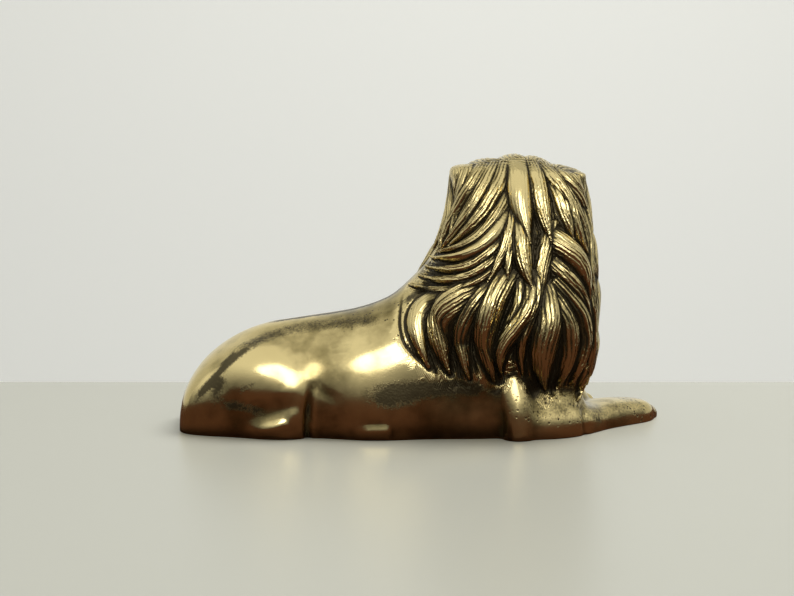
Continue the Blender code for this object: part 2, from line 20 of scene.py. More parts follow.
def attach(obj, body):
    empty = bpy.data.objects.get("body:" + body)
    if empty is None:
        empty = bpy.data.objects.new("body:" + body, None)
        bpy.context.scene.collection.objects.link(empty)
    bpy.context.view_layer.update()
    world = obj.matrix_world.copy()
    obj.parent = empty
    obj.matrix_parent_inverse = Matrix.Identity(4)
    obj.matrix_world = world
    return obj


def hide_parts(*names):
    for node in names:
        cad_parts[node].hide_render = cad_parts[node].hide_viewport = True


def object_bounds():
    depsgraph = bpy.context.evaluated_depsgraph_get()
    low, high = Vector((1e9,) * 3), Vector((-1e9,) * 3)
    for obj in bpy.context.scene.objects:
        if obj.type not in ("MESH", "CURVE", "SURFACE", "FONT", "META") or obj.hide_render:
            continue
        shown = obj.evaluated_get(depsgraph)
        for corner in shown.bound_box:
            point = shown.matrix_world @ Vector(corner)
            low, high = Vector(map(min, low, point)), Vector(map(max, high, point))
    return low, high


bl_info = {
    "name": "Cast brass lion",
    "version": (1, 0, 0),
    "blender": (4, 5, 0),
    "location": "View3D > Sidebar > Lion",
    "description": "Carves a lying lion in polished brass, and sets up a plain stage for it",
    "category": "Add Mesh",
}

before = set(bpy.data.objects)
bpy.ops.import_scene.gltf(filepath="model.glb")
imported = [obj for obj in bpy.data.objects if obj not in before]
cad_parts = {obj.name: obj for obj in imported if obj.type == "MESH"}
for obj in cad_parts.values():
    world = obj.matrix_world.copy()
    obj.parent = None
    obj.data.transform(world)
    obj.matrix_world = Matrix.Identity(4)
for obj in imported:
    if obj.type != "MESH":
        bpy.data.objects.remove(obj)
CAD_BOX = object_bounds()

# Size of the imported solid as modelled, on the grid, and metres to a step of the grid
GRID_SIZE = (194.6, 86.7, 109.0)
SOLID_SIZE = Vector([high - low for low, high in zip(*CAD_BOX)])
SCALE = Vector([size / steps for size, steps in zip(SOLID_SIZE, GRID_SIZE)])
UNIT = (SCALE.x * SCALE.y * SCALE.z) ** (1 / 3)

SINK = 0.008            # how far the forms run on below the floor before they are cut
VOXEL = 0.0008          # grain of the skin that joins the forms
SOFTEN_ROUNDS, POLISH_ROUNDS = 5, 160  # smoothing of the whole skin, and of the body
SKIRT = 1.0             # how far a lock slopes down beside its edge, in half widths
RING_STEPS, LIMB_STEPS, TUBE_STEPS = 4, 5, 6  # rings from one station of a form to the next
TORSO_SIDES, MANE_SIDES, LIMB_SIDES = 64, 72, 40  # points round a ring

# Torso: x, height of the back, half width
TORSO = (
    (-97.5, 6, 8), (-95, 16.3, 15), (-90, 25, 19), (-83, 32, 21.5), (-74, 37.9, 23.5),
    (-63, 42.2, 24.5), (-50, 44.4, 24), (-38, 46.2, 26.2), (-26, 48.3, 29.8), (-14, 52.6, 29.7),
    (-8, 57.4, 29.2), (-2, 63.2, 28.2), (4, 67, 27.5), (12, 67, 27), (24, 58, 26.5),
    (38, 46, 24), (48, 34, 19),
)
TORSO_WAIST = 13        # height at which the torso is widest
TORSO_ROUNDNESS = 2.1   # exponent of its section above the waist, 2 being an ellipse
TORSO_SQUARENESS = 3.6  # the same below the waist

# Mane and neck: z, left edge, right edge, near face, far face
MANE = (
    (-8, 28, 60, -8, 22), (4, 25, 62, -10, 25), (14, 18, 64.2, -16, 28), (22, 9, 65.8, -23.5, 30),
    (30, 4, 66.6, -28.5, 31.5), (40, -1, 67.2, -30, 32), (50, -3, 67.3, -29.5, 32),
    (58, -2, 67, -28.5, 31), (65, 0.6, 66.4, -27, 29), (69.5, 3, 65.9, -25.5, 27.5),
    (74, 5.4, 65.3, -24, 26), (83, 9, 63.9, -21, 23), (91, 10.8, 62.8, -18, 21),
    (98, 10.3, 63.2, -15, 19.5), (100.5, 9.8, 64.2, -13.6, 18.6), (101.6, 9.6, 64, -12.8, 18),
    (102.3, 9.6, 60.4, -12.2, 17.5), (102.9, 9.7, 57, -11.6, 17), (103.9, 10.6, 54.1, -10.6, 16),
    (104.7, 12.8, 51.7, -9.6, 15), (105.5, 18, 49.3, -8.4, 14), (106.3, 23, 46.9, -7, 12.8),
    (107.1, 27.9, 44.6, -5.6, 11.4), (107.9, 32.6, 42.2, -3.6, 9.4), (108.3, 36, 39.5, -1.8, 7.8),
)
MANE_ROUNDNESS = 2.7

Lock = namedtuple("Lock", "root tip bow wave half_width strands rise")

# Locks on the near side: root and tip as (x, z), sideways bow and S-wave, half width,
# strands and rise. A bow is to the right of a lock that hangs, and below one that runs left.
NEAR_LOCKS = [Lock(*row) for row in (
    # Crown to the left
    ((16, 104.4), (9.8, 77), 0.5, 0, 3, 3, 0.6),
    ((22.5, 105.5), (5.8, 72.5), -0.8, 0, 3, 4, 0.8),
    ((28, 106.4), (6.6, 72), 1, 0, 3.1, 4, 0.8),
    ((31.5, 107), (9, 73), 3, 0, 3, 4, 0.9),
    ((31.5, 95), (4.8, 71), 5.6, 0, 2.7, 4, 0.9),
    ((32, 89), (3, 68.5), 6.4, 0, 3.2, 1, 1.2),
    ((32, 82), (0.8, 65), 6.4, 0, 2.7, 4, 1.1),
    ((31.5, 76.5), (-2, 61.5), 6.2, 0, 2.5, 4, 1),
    ((31, 71.5), (-6, 58), 6.4, 0, 2.3, 3, 0.9),
    # Crown to the right
    ((54.5, 102.8), (63.7, 86), 1, 0, 2.8, 3, 0.7),
    ((51, 104.2), (65, 79), 1.6, 0, 2.9, 3, 0.9),
    ((48.5, 105), (64, 64), 2.8, 0, 2.9, 4, 0.9),
    ((45.5, 106), (63, 68), 2, 0.8, 3, 4, 1),
    ((49.5, 99), (56.5, 76), 0.8, 0, 2.8, 4, 0.8),
    ((59, 100.8), (64, 60), 1.4, 0, 2.6, 4, 0.9),
    ((59.5, 96), (65.6, 44), 0.4, 0.4, 2.8, 4, 0.9),
    ((63.5, 68), (63.5, 18), 1.4, 0.8, 3, 4, 0.9),
    # Down the middle
    ((36, 107.6), (40, 75), -1.4, 0, 4.2, 1, 1.2),
    ((42, 107.2), (48, 75), -0.6, 0, 3.1, 5, 1),
    ((33.5, 89), (23, 60), 2, 0, 2.8, 4, 1),
    ((33.5, 87), (31, 60), -0.6, 0, 2.4, 3, 0.9),
    ((35, 87), (41, 57), -1.2, 0.4, 3.3, 4, 1.2),
    ((49, 84), (43.5, 50), -1.5, 0, 2.2, 3, 0.5),
    # Right flank of the mane
    ((47, 79), (62, 53), 4.4, 0, 4.4, 2, 1.5),
    ((49, 69), (64, 40), 3.4, 0, 3.2, 3, 0.9),
    ((61, 66), (60, 13), 3.8, 0, 2.9, 4, 1.1),
    # Hanging tips, from the rear forwards
    ((16, 58), (1.5, 27.5), -12, 0, 4, 1, 0.9),
    ((24, 61), (9.5, 25.5), -10.5, 0, 6.2, 6, 1.7),
    ((28, 63), (17, 23.5), -8, 0, 4, 5, 1.3),
    ((33, 66), (26, 23), -6.6, 0, 4.8, 3, 1.5),
    ((36, 63), (27.5, 26), 0, 1.6, 2.2, 3, 0.9),
    ((40, 64), (29, 23.5), -0.4, 2.9, 3.8, 3, 1.7),
    ((42, 66), (37.5, 25), -0.6, 1.8, 2.6, 3, 1.2),
    ((50, 62), (56, 20), 8.6, 0, 3.2, 4, 1.1),
    ((47, 59), (50.5, 19), 6.4, 0, 3.8, 5, 1.3),
    ((46, 60), (46.5, 18.5), -0.8, 1.2, 5.2, 6, 1.9),
)]

Row = namedtuple("Row", "chart count left right top bottom lean half_width strands rise")

# Rows of like locks that hang side by side on the other sides, from the lowest up.
# left and right are x on the far side, and y on the two ends.
ROWS = (
    Row("far", 8, 16, 62, 44, 15, 6, 4.4, 4, 1.0), Row("far", 8, 12, 64, 62, 33, 8, 4.4, 4, 1.0),
    Row("front", 5, -13, 24, 46, 17, 4, 4.8, 4, 1.0),
    Row("front", 5, -11, 26, 66, 36, 4, 4.8, 4, 1.0),
    Row("front", 5, -8, 24, 84, 56, 2, 4.2, 4, 1.0),
    Row("front", 4, -5, 18, 100, 74, 2, 4.2, 4, 1.0),
    Row("back", 3, 9, 26, 76, 60, 3, 4.2, 4, 0.6), Row("back", 4, 1, 20, 101, 71, 4, 4.2, 4, 0.8),
    Row("top", 7, 22, 54, -4, 18, 10, 3.8, 4, 0.4),
)
FACE_MIDDLE = 37        # x of the face's middle line
RUFF_LOCKS = 19         # locks round the face
RUFF_CENTRE = (FACE_MIDDLE, 84)  # its middle, on the far side
RUFF_ROOTS, RUFF_TIPS = (16, 15), (26, 24)  # their distance from it, sideways and upwards
FACE_RADII = (15.5, 16)  # where the locks give way to the bare face

Press = namedtuple("Press", "chart spot radius height")

# Swellings and hollows of the face and ears, each on both sides of its middle line
FACE_PRESSES = (
    Press("far", (8.3, 90.8), 5.0, -2.0), Press("far", (8.3, 90.6), 2.9, 1.7),
    Press("far", (18.5, 97.5), 5.4, -3.0), Press("far", (3.0, 82.0), 1.6, -1.0),
)

Cut = namedtuple("Cut", "chart root tip bow wave half_width depth")

# Cut lines, with the same bow and wave as the locks, and ridges where the depth is below 0
CUTS = (
    # Nose and mouth
    Cut("far", (37, 82), (37, 76), 0, 0, 1.1, 1.2),
    Cut("far", (37, 76), (46.5, 73.4), 1.6, 0, 1.2, 1.6),
    Cut("far", (37, 76), (27.5, 73.4), -1.6, 0, 1.2, 1.6),
    # Crease behind the mane
    Cut("near", (-8.5, 54.5), (0.5, 28), -5.4, 0, 1.2, 0.9),
    # Swellings of the hind foot and the belly
    Cut("near", (-68, 2.5), (-46.5, 10.5), -0.6, 0, 4.6, -0.5),
    Cut("near", (-64, 3.2), (-52, 6.8), 0, 0, 2.8, -0.5),
    Cut("near", (-28, 2.6), (-12.5, 3.2), 0.4, 0, 3.8, -0.85),
    # Crease of the knee, and the hollow over the hind foot
    Cut("near", (-43.5, 23), (-45, -7), -0.6, 0, 2.4, 1.5),
    Cut("near", (-31, 15), (-43.5, 22), 1.0, 0, 3.4, 0.25),
    Cut("near", (-76, 7), (-46, 15), 2.0, 0, 5.0, 0.5),
    # Wrist
    Cut("near", (62.5, 16), (63.5, -3), -1.0, 0, 2.4, 0.7),
    # Knee and toes of the far side
    Cut("far", (-43, 22), (-45.5, 4), 0.8, 0, 2.6, 1.2),
    Cut("far", (64.5, 9), (67.5, -1), 0, 0, 1.2, 1.2),
    Cut("far", (61, 10), (63.5, -1), 0, 0, 1.2, 1.2),
)


def at(x, y, z):
    """A place on the design grid, in metres."""
    return Vector((x * SCALE.x, y * SCALE.y, z * SCALE.z))


def spline(rows, steps):
    """Rows of numbers joined by a smooth curve through all of them."""
    rows = np.array(rows, float)
    ends = np.vstack([2 * rows[0] - rows[1], rows, 2 * rows[-1] - rows[-2]])
    t = np.linspace(0, 1, steps, endpoint=False)[:, None]
    spans = [
        0.5 * (2 * b + (c - a) * t + (2 * a - 5 * b + 4 * c - d) * t**2
               + (3 * b - a - 3 * c + d) * t**3)
        for a, b, c, d in zip(ends, ends[1:], ends[2:], ends[3:])
    ]
    return np.vstack(spans + [rows[-1:]])


def superellipse(sides, roundness):
    """Points of a unit superellipse, as two columns."""
    angle = np.linspace(0, 2 * np.pi, sides, endpoint=False)
    c, s = np.cos(angle), np.sin(angle)
    return np.stack([np.sign(c) * abs(c) ** (2 / roundness),
                     np.sign(s) * abs(s) ** (2 / roundness)], axis=1)


def skin(bm, rings):
    """A closed body over a stack of rings of points."""
    loops = [[bm.verts.new(at(*p)) for p in ring] for ring in rings]
    for lower, upper in zip(loops, loops[1:]):
        for i, corner in enumerate(lower):
            j = (i + 1) % len(lower)
            bm.faces.new((corner, lower[j], upper[j], upper[i]))
    bm.faces.new(reversed(loops[0]))
    bm.faces.new(loops[-1])


def ball(bm, centre, radii, turn=0.0, tilt=0.0):
    """An ellipsoid, turned about Z and then tilted about Y, in degrees."""
    placed = (Matrix.Diagonal((*SCALE, 1)) @ Matrix.Translation(centre)
              @ Matrix.Rotation(math.radians(turn), 4, "Z")
              @ Matrix.Rotation(math.radians(tilt), 4, "Y")
              @ Matrix.Diagonal((*radii, 1)))
    piece = bmesh.new()
    bmesh.ops.create_uvsphere(piece, u_segments=48, v_segments=24, radius=1, matrix=placed)
    mesh = bpy.data.meshes.new("ball")
    piece.to_mesh(mesh)
    piece.free()
    bm.from_mesh(mesh)
    bpy.data.meshes.remove(mesh)


def applied(shape):
    """A new mesh of an object as it stands, with its modifiers applied."""
    graph = bpy.context.evaluated_depsgraph_get()
    return bpy.data.meshes.new_from_object(shape.evaluated_get(graph))


def tube(bm, stations):
    """A limb or tail along stations of x, y, z and radius, with round ends."""
    rows = spline(stations, TUBE_STEPS)
    curve = bpy.data.curves.new("limb", "CURVE")
    curve.dimensions = "3D"
    curve.bevel_depth = UNIT
    curve.bevel_resolution = 8
    curve.use_fill_caps = True
    line = curve.splines.new("POLY")
    line.points.add(len(rows) - 1)
    for point, (x, y, z, radius) in zip(line.points, rows):
        point.co = (*at(x, y, z), 1)
        point.radius = radius
    shape = bpy.data.objects.new("limb", curve)
    bpy.context.collection.objects.link(shape)
    bm.from_mesh(applied(shape))
    bpy.data.objects.remove(shape)
    for x, y, z, radius in (stations[0], stations[-1]):
        ball(bm, (x, y, z), (radius, radius, radius))


def limb(bm, stations, squareness=2.8):
    """A leg along stations of x, y, z, half width and half height, with round ends."""
    rows = spline(stations, LIMB_STEPS)
    section = superellipse(LIMB_SIDES, squareness)
    along = unit_rows(np.gradient(rows[:, :2], axis=0))
    rings = []
    for (x, y, z, wide, high), (dx, dy) in zip(rows, along):
        rings.append([(x - dy * wide * a, y + dx * wide * a, z + high * b)
                      for a, b in section])
    skin(bm, rings)
    for x, y, z, wide, high in (stations[0], stations[-1]):
        ball(bm, (x, y, z), (wide, wide, high))


def torso(bm):
    """The body from rump to chest, an ellipse above its waist and squarer below it."""
    above = superellipse(TORSO_SIDES, TORSO_ROUNDNESS)
    under = superellipse(TORSO_SIDES, TORSO_SQUARENESS)
    section = np.where(above[:, 1:] > 0, above, under)
    below = SINK / SCALE.z
    rings = []
    for x, top, half in spline(TORSO, RING_STEPS):
        waist = min(TORSO_WAIST, top * 0.6)
        lift = np.where(section[:, 1] > 0, top - waist, waist + below)
        rings.append([(x, half * a, waist + b * r) for (a, b), r in zip(section, lift)])
    skin(bm, rings)


def mane(bm):
    """The neck and head with their mane, as a stack of rounded rings."""
    section = superellipse(MANE_SIDES, MANE_ROUNDNESS)
    rings = []
    for z, left, right, near, far in spline(MANE, RING_STEPS):
        cx, cy = (left + right) / 2, (near + far) / 2
        rx, ry = (right - left) / 2, (far - near) / 2
        rings.append([(cx + rx * a, cy + ry * b, z) for a, b in section])
    skin(bm, rings)


def hindquarters(bm):
    """Haunches, knees and hind feet, and the bulge of the belly in front of them."""
    for side in (-1, 1):
        ball(bm, (-61, 12.5 * side, 17.5), (25, 15, 20.5), turn=9 * side, tilt=6)
        ball(bm, (-52, 16 * side, 15), (12, 13, 16))
        tube(bm, ((-76, 14 * side, 1, 6), (-66, 19.5 * side, 2.5, 6.5),
                  (-55, 23 * side, 3.5, 6.5), (-49, 23 * side, 4, 5.5)))
        ball(bm, (-18, 21 * side, 1), (17, 8.6, 6.5))


def forelegs(bm):
    """Shoulders and elbows, the near foreleg folded across, and the far one with its toes."""
    ball(bm, (20, -17, 30), (14, 12.5, 19))
    ball(bm, (52, 20, 6), (17, 14, 12))
    ball(bm, (20, 18, 30), (14, 12.5, 19))
    tube(bm, ((29, -14, 37, 7), (32, -19, 26, 6.6), (35.2, -24, 13, 6.2), (36, -25, 4, 6),
              (36, -25, -6, 6)))
    ball(bm, (45, -10, 3), (21, 16, 21), turn=22)
    limb(bm, ((24, -6, 4, 9, 8), (37, -14, 4, 13, 9), (50, -13, 4, 12.5, 8),
              (60, -4.5, 3, 11.5, 7.2), (67, 2, 2.6, 10.4, 6.6), (75, 9, 2.8, 10.6, 6.8),
              (84, 15.8, 2.2, 10.2, 6.6), (89, 19.3, 1.8, 8.6, 6.2), (92.5, 21.8, 1, 5.4, 4.8)),
         squareness=3.2)
    limb(bm, ((26, 19, 7, 11, 12), (38, 25, 6, 10.5, 10), (48, 33, 4, 9, 8),
              (56, 38.5, 3.5, 9, 7), (62, 42, 2.5, 8.6, 6.6)))
    for toe in range(4):
        spread = toe - 1.5
        ball(bm, (65 + 2.5 * spread, 43.5 - 3.7 * spread, 2.4), (6, 3, 5.2), turn=34)


def tail(bm):
    """The tail, laid round the far haunch, with its tuft."""
    tube(bm, ((-88, 4, 18, 4.6), (-93.5, 14, 11, 4.3), (-90, 25, 5, 3.9),
              (-79, 30.5, 3.4, 3.5), (-64, 32.5, 3.2, 3.3), (-50, 33, 3.2, 3.4),
              (-40, 33.5, 3.4, 5.2), (-31, 33, 3.2, 4.2), (-24, 31.5, 3, 1.8)))


def head(bm):
    """The face, looking to the far side, and the ears."""
    middle = FACE_MIDDLE
    ball(bm, (middle, 15, 90), (18, 18, 15.5))
    ball(bm, (middle, 32, 79), (11.5, 10.5, 8.5))
    limb(bm, ((middle, 22, 96, 8.5, 6), (middle, 31, 92, 6.8, 5), (middle, 38.5, 86, 5.8, 4.4),
              (middle, 43, 82.5, 5.2, 3.4)))
    ball(bm, (middle, 26.5, 98.5), (9, 6, 5))
    ball(bm, (middle, 44.6, 82.4), (5.6, 3, 3.2))
    ball(bm, (middle, 37.5, 69.6), (6.4, 6, 4.8))
    for side in (-1, 1):
        ball(bm, (middle + 12.5 * side, 22.5, 81), (7.5, 8.5, 10))
        ball(bm, (middle + 7 * side, 28, 72.5), (6.8, 9, 6.6))
        ball(bm, (middle + 5.2 * side, 40.5, 76.8), (6.0, 6.2, 5.2))
        ball(bm, (middle + 8 * side, 31, 96), (6.8, 3.9, 2.9), tilt=-12 * side)
        ball(bm, (middle + 11 * side, 28.5, 86), (6.4, 4.6, 3.2), tilt=16 * side)
        ball(bm, (middle + 8.8 * side, 29.6, 91), (3.6, 3.3, 2.7))
        tube(bm, ((middle + 14 * side, 7, 95, 8), (middle + 17.5 * side, 8, 98, 6.5),
                  (middle + 19.5 * side, 8, 98.4, 4)))
        ball(bm, (middle + 18.5 * side, 13, 96.2), (6.6, 5, 6.6), tilt=30 * side)


def broad_surface(places):
    """How much each place is polished smooth: the body fully, the face and toes least."""
    x, y, z = (places / np.array(SCALE)).T
    low = (z < 24) & (abs(x - 34) > 5)
    body = np.clip((12 - x) / 14, 0.12 + 0.22 * low, 1)
    face = np.clip((y - 20) / 6, 0, 1) * (z > 60)
    toes = np.clip((y - 38) / 4, 0, 1)
    paw = np.clip((x - 60) / 10, 0, 1) * (z < 20)
    return body * (1 - np.maximum(np.maximum(face, toes), 0.2 * paw))


def fused(add_forms):
    """The forms as one smooth skin."""
    bm = bmesh.new()
    for add in add_forms:
        add(bm)
    mesh = bpy.data.meshes.new("forms")
    bm.to_mesh(mesh)
    bm.free()
    shape = bpy.data.objects.new("forms", mesh)
    bpy.context.collection.objects.link(shape)
    weld = shape.modifiers.new("fuse", "REMESH")
    weld.mode = "VOXEL"
    weld.voxel_size = VOXEL
    shape.data = applied(shape)
    shape.modifiers.clear()
    places, _ = vertex_arrays(shape.data)
    broad = shape.vertex_groups.new(name="broad")
    for index, weight in enumerate(broad_surface(places)):
        broad.add((index,), weight, "REPLACE")
    for name, group, rounds in (("soften", "", SOFTEN_ROUNDS),
                                ("polish", "broad", POLISH_ROUNDS)):
        smooth = shape.modifiers.new(name, "SMOOTH")
        smooth.vertex_group = group
        smooth.factor = 0.5
        smooth.iterations = rounds
    result = applied(shape)
    bpy.data.objects.remove(shape)
    return result


def vertex_arrays(mesh):
    """Places and normals of a mesh's vertices."""
    places = np.empty(len(mesh.vertices) * 3, np.float32)
    mesh.vertices.foreach_get("co", places)
    normals = np.empty(len(mesh.vertices) * 3, np.float32)
    mesh.vertex_normals.foreach_get("vector", normals)
    return places.reshape(-1, 3).astype(float), normals.reshape(-1, 3).astype(float)


def move_vertices(mesh, places):
    """Puts a mesh's vertices at new places."""
    mesh.vertices.foreach_set("co", places.astype(np.float32).ravel())
    mesh.update()


def surface_tree(mesh):
    """The surface of a mesh, ready to be hit by rays."""
    return BVHTree.FromPolygons([v.co for v in mesh.vertices],
                                [p.vertices for p in mesh.polygons])


REACH = 0.5             # farther than any part of the figure, in metres
PATH_SAMPLES = 33       # points along a lock, cut line or stain

# Where each chart looks from, and the place on the grid of its two numbers
CHARTS = {
    "near": (Vector((0, -1, 0)), lambda a, b: (a, 0, b)),
    "far": (Vector((0, 1, 0)), lambda a, b: (a, 0, b)),
    "front": (Vector((1, 0, 0)), lambda a, b: (0, a, b)),
    "back": (Vector((-1, 0, 0)), lambda a, b: (0, a, b)),
    "top": (Vector((0, 0, 1)), lambda a, b: (a, b, 0)),
}

# The depth on the grid at which a chart looks for the figure where it sees past it
MIDDLE = {"near": (0, -15, 0), "far": (0, 18, 0), "front": (62, 0, 0), "back": (8, 0, 0),
          "top": (0, 0, 104)}


def chart(tree, name):
    """A way from two numbers on one side of the figure to the place and normal there,
    and whether the figure is there at all rather than beside it."""
    outward, spread = CHARTS[name]

    def place(a, b):
        start = at(*spread(a, b)) + outward * REACH
        spot, normal, _, _ = tree.ray_cast(start, -outward)
        if spot is None:
            spot, normal, _, _ = tree.find_nearest(at(*spread(a, b)) + at(*MIDDLE[name]))
            return spot, normal, False
        return spot, normal, True
    return place


def lock_path(lock, place):
    """Places and normals down the middle of a lock, which ends where the figure does."""
    root, tip = np.array(lock.root, float), np.array(lock.tip, float)
    run = tip - root
    across = np.array((-run[1], run[0])) / np.linalg.norm(run)

    def station(t):
        shift = lock.bow * math.sin(math.pi * t) + lock.wave * math.sin(2 * math.pi * t)
        return place(*(root + run * t + across * shift))

    rows = [station(t) for t in np.linspace(0, 1, PATH_SAMPLES)]
    step = 5 * np.linalg.norm(run) / PATH_SAMPLES * UNIT
    for i in range(PATH_SAMPLES // 2, PATH_SAMPLES):
        leap = (rows[i][0] - rows[i - 1][0]).length > step
        if leap or not rows[i][2]:
            last = (i - 1) / (PATH_SAMPLES - 1)
            rows = [station(t) for t in np.linspace(0, last, PATH_SAMPLES)]
            break
    return np.array([row[0] for row in rows]), np.array([row[1] for row in rows])


def unit_rows(rows):
    """Each row at length 1."""
    return rows / np.maximum(np.linalg.norm(rows, axis=1, keepdims=True), 1e-12)


def by_path(places, spots, normals, half_width):
    """Which places lie by a path, how far along it, across it and off its end they are."""
    reach = half_width * (1 + SKIRT)
    near = np.all((places > spots.min(0) - reach) & (places < spots.max(0) + reach), axis=1)
    index = np.flatnonzero(near)
    if not len(index):
        return index, np.zeros(0), np.zeros(0), np.zeros(0)
    along = unit_rows(np.gradient(spots, axis=0))
    across = unit_rows(np.cross(along, normals))
    closest = np.argmin(((places[index, None] - spots[None]) ** 2).sum(2), axis=1)
    offset = places[index] - spots[closest]
    step = np.linalg.norm(np.diff(spots, axis=0), axis=1).mean()
    t = (closest + (offset * along[closest]).sum(1) / step) / (len(spots) - 1)
    side = (offset * across[closest]).sum(1)
    beyond = np.clip(abs(t - 0.5) - 0.5, 0, None) * step * (len(spots) - 1)
    depth = abs((offset * normals[closest]).sum(1))
    inside = (np.hypot(side, beyond) < reach) & (depth < 3 * half_width)
    return index[inside], np.clip(t, 0, 1)[inside], side[inside], beyond[inside]


def beside(places, tree, side, path):
    """Which places lie by a lock, cut line or stain on one side of the figure, and where."""
    spots, normals = lock_path(path, chart(tree, side))
    return by_path(places, spots, normals, path.half_width * UNIT)


def lock_rise(t, side, beyond, lock, sizes):
    """How far a lock lifts the places by it, how far each one is outside its edge, and how
    clear its edge is. Beside the lock, its skirt slopes down and carries the strands on."""
    half_width = lock.half_width * UNIT
    swell = 0.6 + 0.4 * np.sin(np.pi * np.clip(t * 1.1, 0, 1)) ** 0.8
    width = half_width * sizes.lock_fullness * swell * (1 - t**4) ** 0.8
    outside = np.hypot(np.clip(abs(side) - width, 0, None), beyond) / half_width
    q = np.clip(side / np.maximum(width, 1e-9), -1, 1)
    clear = np.sin(np.pi / 2 * np.clip(t / 0.45, 0, 1))
    fade = clear * (1 - 0.5 * t**3)
    crown = (1 - abs(q) ** 1.8) ** 0.85
    wander = 0.5 * np.sin(9 * t + 2.4 * lock.root[0]) + 0.25 * np.sin(21 * t + lock.tip[1])
    strand = np.pi * lock.strands * (q + 1) / 2 + 2.5 * outside * lock.strands + wander
    groove = (1 - abs(np.sin(strand)) ** 0.6) * (lock.strands > 1)
    rise = sizes.lock_rise * lock.rise * fade * crown
    rise -= sizes.strand_depth * groove * (0.4 + 0.6 * crown)
    rise -= sizes.valley * np.clip(outside / SKIRT, 0, 1) ** 0.8
    return rise, outside, clear


def cut_depth(t, side, beyond, cut):
    """How deep a cut line is, from end to end and from edge to edge."""
    q = np.clip(np.hypot(side, beyond) / (cut.half_width * UNIT), 0, 1)
    taper = np.clip(t / 0.4, 0, 1) * np.clip((1 - t) / 0.15, 0, 1)
    return UNIT * cut.depth * taper * (1 - q**2) ** 2


def hidden_locks():
    """The locks of the far side and the two ends, with the chart of each."""
    for row in ROWS:
        for i in range(row.count):
            share = (i + 0.5) / row.count
            root = row.left + (row.right - row.left) * share
            tip = root + row.lean * (share - 0.5) * 2
            swing = 1 if i % 2 else -1
            low = row.bottom + 4 * (i % 2)
            yield row.chart, Lock((root, row.top), (tip, low), 2.2 * swing, 1.2,
                                  row.half_width, row.strands, row.rise)
    cx, cz = RUFF_CENTRE
    for i in range(RUFF_LOCKS):
        turn = 2 * math.pi * (i + 0.5) / RUFF_LOCKS
        c, s = math.sin(turn), math.cos(turn)
        swing = 1 if c > 0 else -1
        drop = 7 * min(1, 1 - s)
        root = (cx + RUFF_ROOTS[0] * c, cz + RUFF_ROOTS[1] * s)
        tip = (cx + RUFF_TIPS[0] * c, cz + RUFF_TIPS[1] * s - drop)
        yield "far", Lock(root, tip, 1.8 * swing, 0, 3.6, 3, 1)


def all_locks():
    """Every lock of the mane with its chart, those of the near side last."""
    return list(hidden_locks()) + [("near", lock) for lock in NEAR_LOCKS]


def bare_face(places):
    """How much each place belongs to the bare face, where no lock grows."""
    x = (places[:, 0] / SCALE.x - RUFF_CENTRE[0]) / FACE_RADII[0]
    z = (places[:, 2] / SCALE.z - RUFF_CENTRE[1]) / FACE_RADII[1]
    edge = np.clip((1.12 - np.hypot(x, z)) / 0.12, 0, 1)
    return edge * (places[:, 1] / SCALE.y > 20)


def carve(mesh, sizes):
    """Raises the locks of the mane on the fused skin, and presses in the finer forms."""
    places, normals = vertex_arrays(mesh)
    tree = surface_tree(mesh)
    lift = np.full(len(places), -sizes.valley)
    edge = np.full(len(places), SKIRT)
    sharp = np.zeros(len(places))
    cover = np.zeros(len(places))
    for name, lock in all_locks():
        index, t, side, beyond = beside(places, tree, name, lock)
        rise, outside, clear = lock_rise(t, side, beyond, lock, sizes)
        lift[index] = np.maximum(lift[index], rise)
        sharp[index] = np.where(outside < edge[index], clear, sharp[index])
        edge[index] = np.minimum(edge[index], outside)
        cover[index] += np.clip((SKIRT - outside) / (0.5 * SKIRT), 0, 1)
    groove = sizes.valley * 0.5 * sharp * np.clip(1 - abs(edge - 0.15) / 0.2, 0, 1)
    amid = np.clip(cover - 1, 0, 1)
    lift = np.where(edge > 0, lift * amid - groove * (1 - amid), lift)
    lift *= 1 - bare_face(places)
    for cut in CUTS:
        index, t, side, beyond = beside(places, tree, cut.chart, cut)
        lift[index] -= cut_depth(t, side, beyond, cut)
    for press in FACE_PRESSES:
        for side in (-1, 1):
            a, b = press.spot
            spot, _, _ = chart(tree, press.chart)(FACE_MIDDLE + a * side, b)
            near = np.linalg.norm(places - np.array(spot), axis=1) / (press.radius * UNIT)
            lift += press.height * UNIT * np.clip(1 - near**2, 0, 1) ** 2
    move_vertices(mesh, places + normals * lift[:, None])


def cut_flat_below(mesh):
    """Cuts the figure off at the floor, with one flat face there."""
    bm = bmesh.new()
    bm.from_mesh(mesh)
    everything = bm.verts[:] + bm.edges[:] + bm.faces[:]
    cut = bmesh.ops.bisect_plane(bm, geom=everything, plane_co=(0, 0, 0),
                                 plane_no=(0, 0, 1), clear_inner=True)
    rim = [e for e in cut["geom_cut"] if isinstance(e, bmesh.types.BMEdge)]
    bmesh.ops.holes_fill(bm, edges=rim, sides=0)
    bm.to_mesh(mesh)
    bm.free()


# Where the skin is cut finer, on the grid: the mane, and the face with the far toes
MANE_REAR, MANE_FOOT = -12, 8
FACE_REAR, FACE_SIDE = 22, 30
SHOULDER_LEAN, SHOULDER_TOP, SHOULDER_REAR = 0.55, 60, -14
FITTED_ENDS = 0.12      # share of the figure at each end that is moved until its box fits


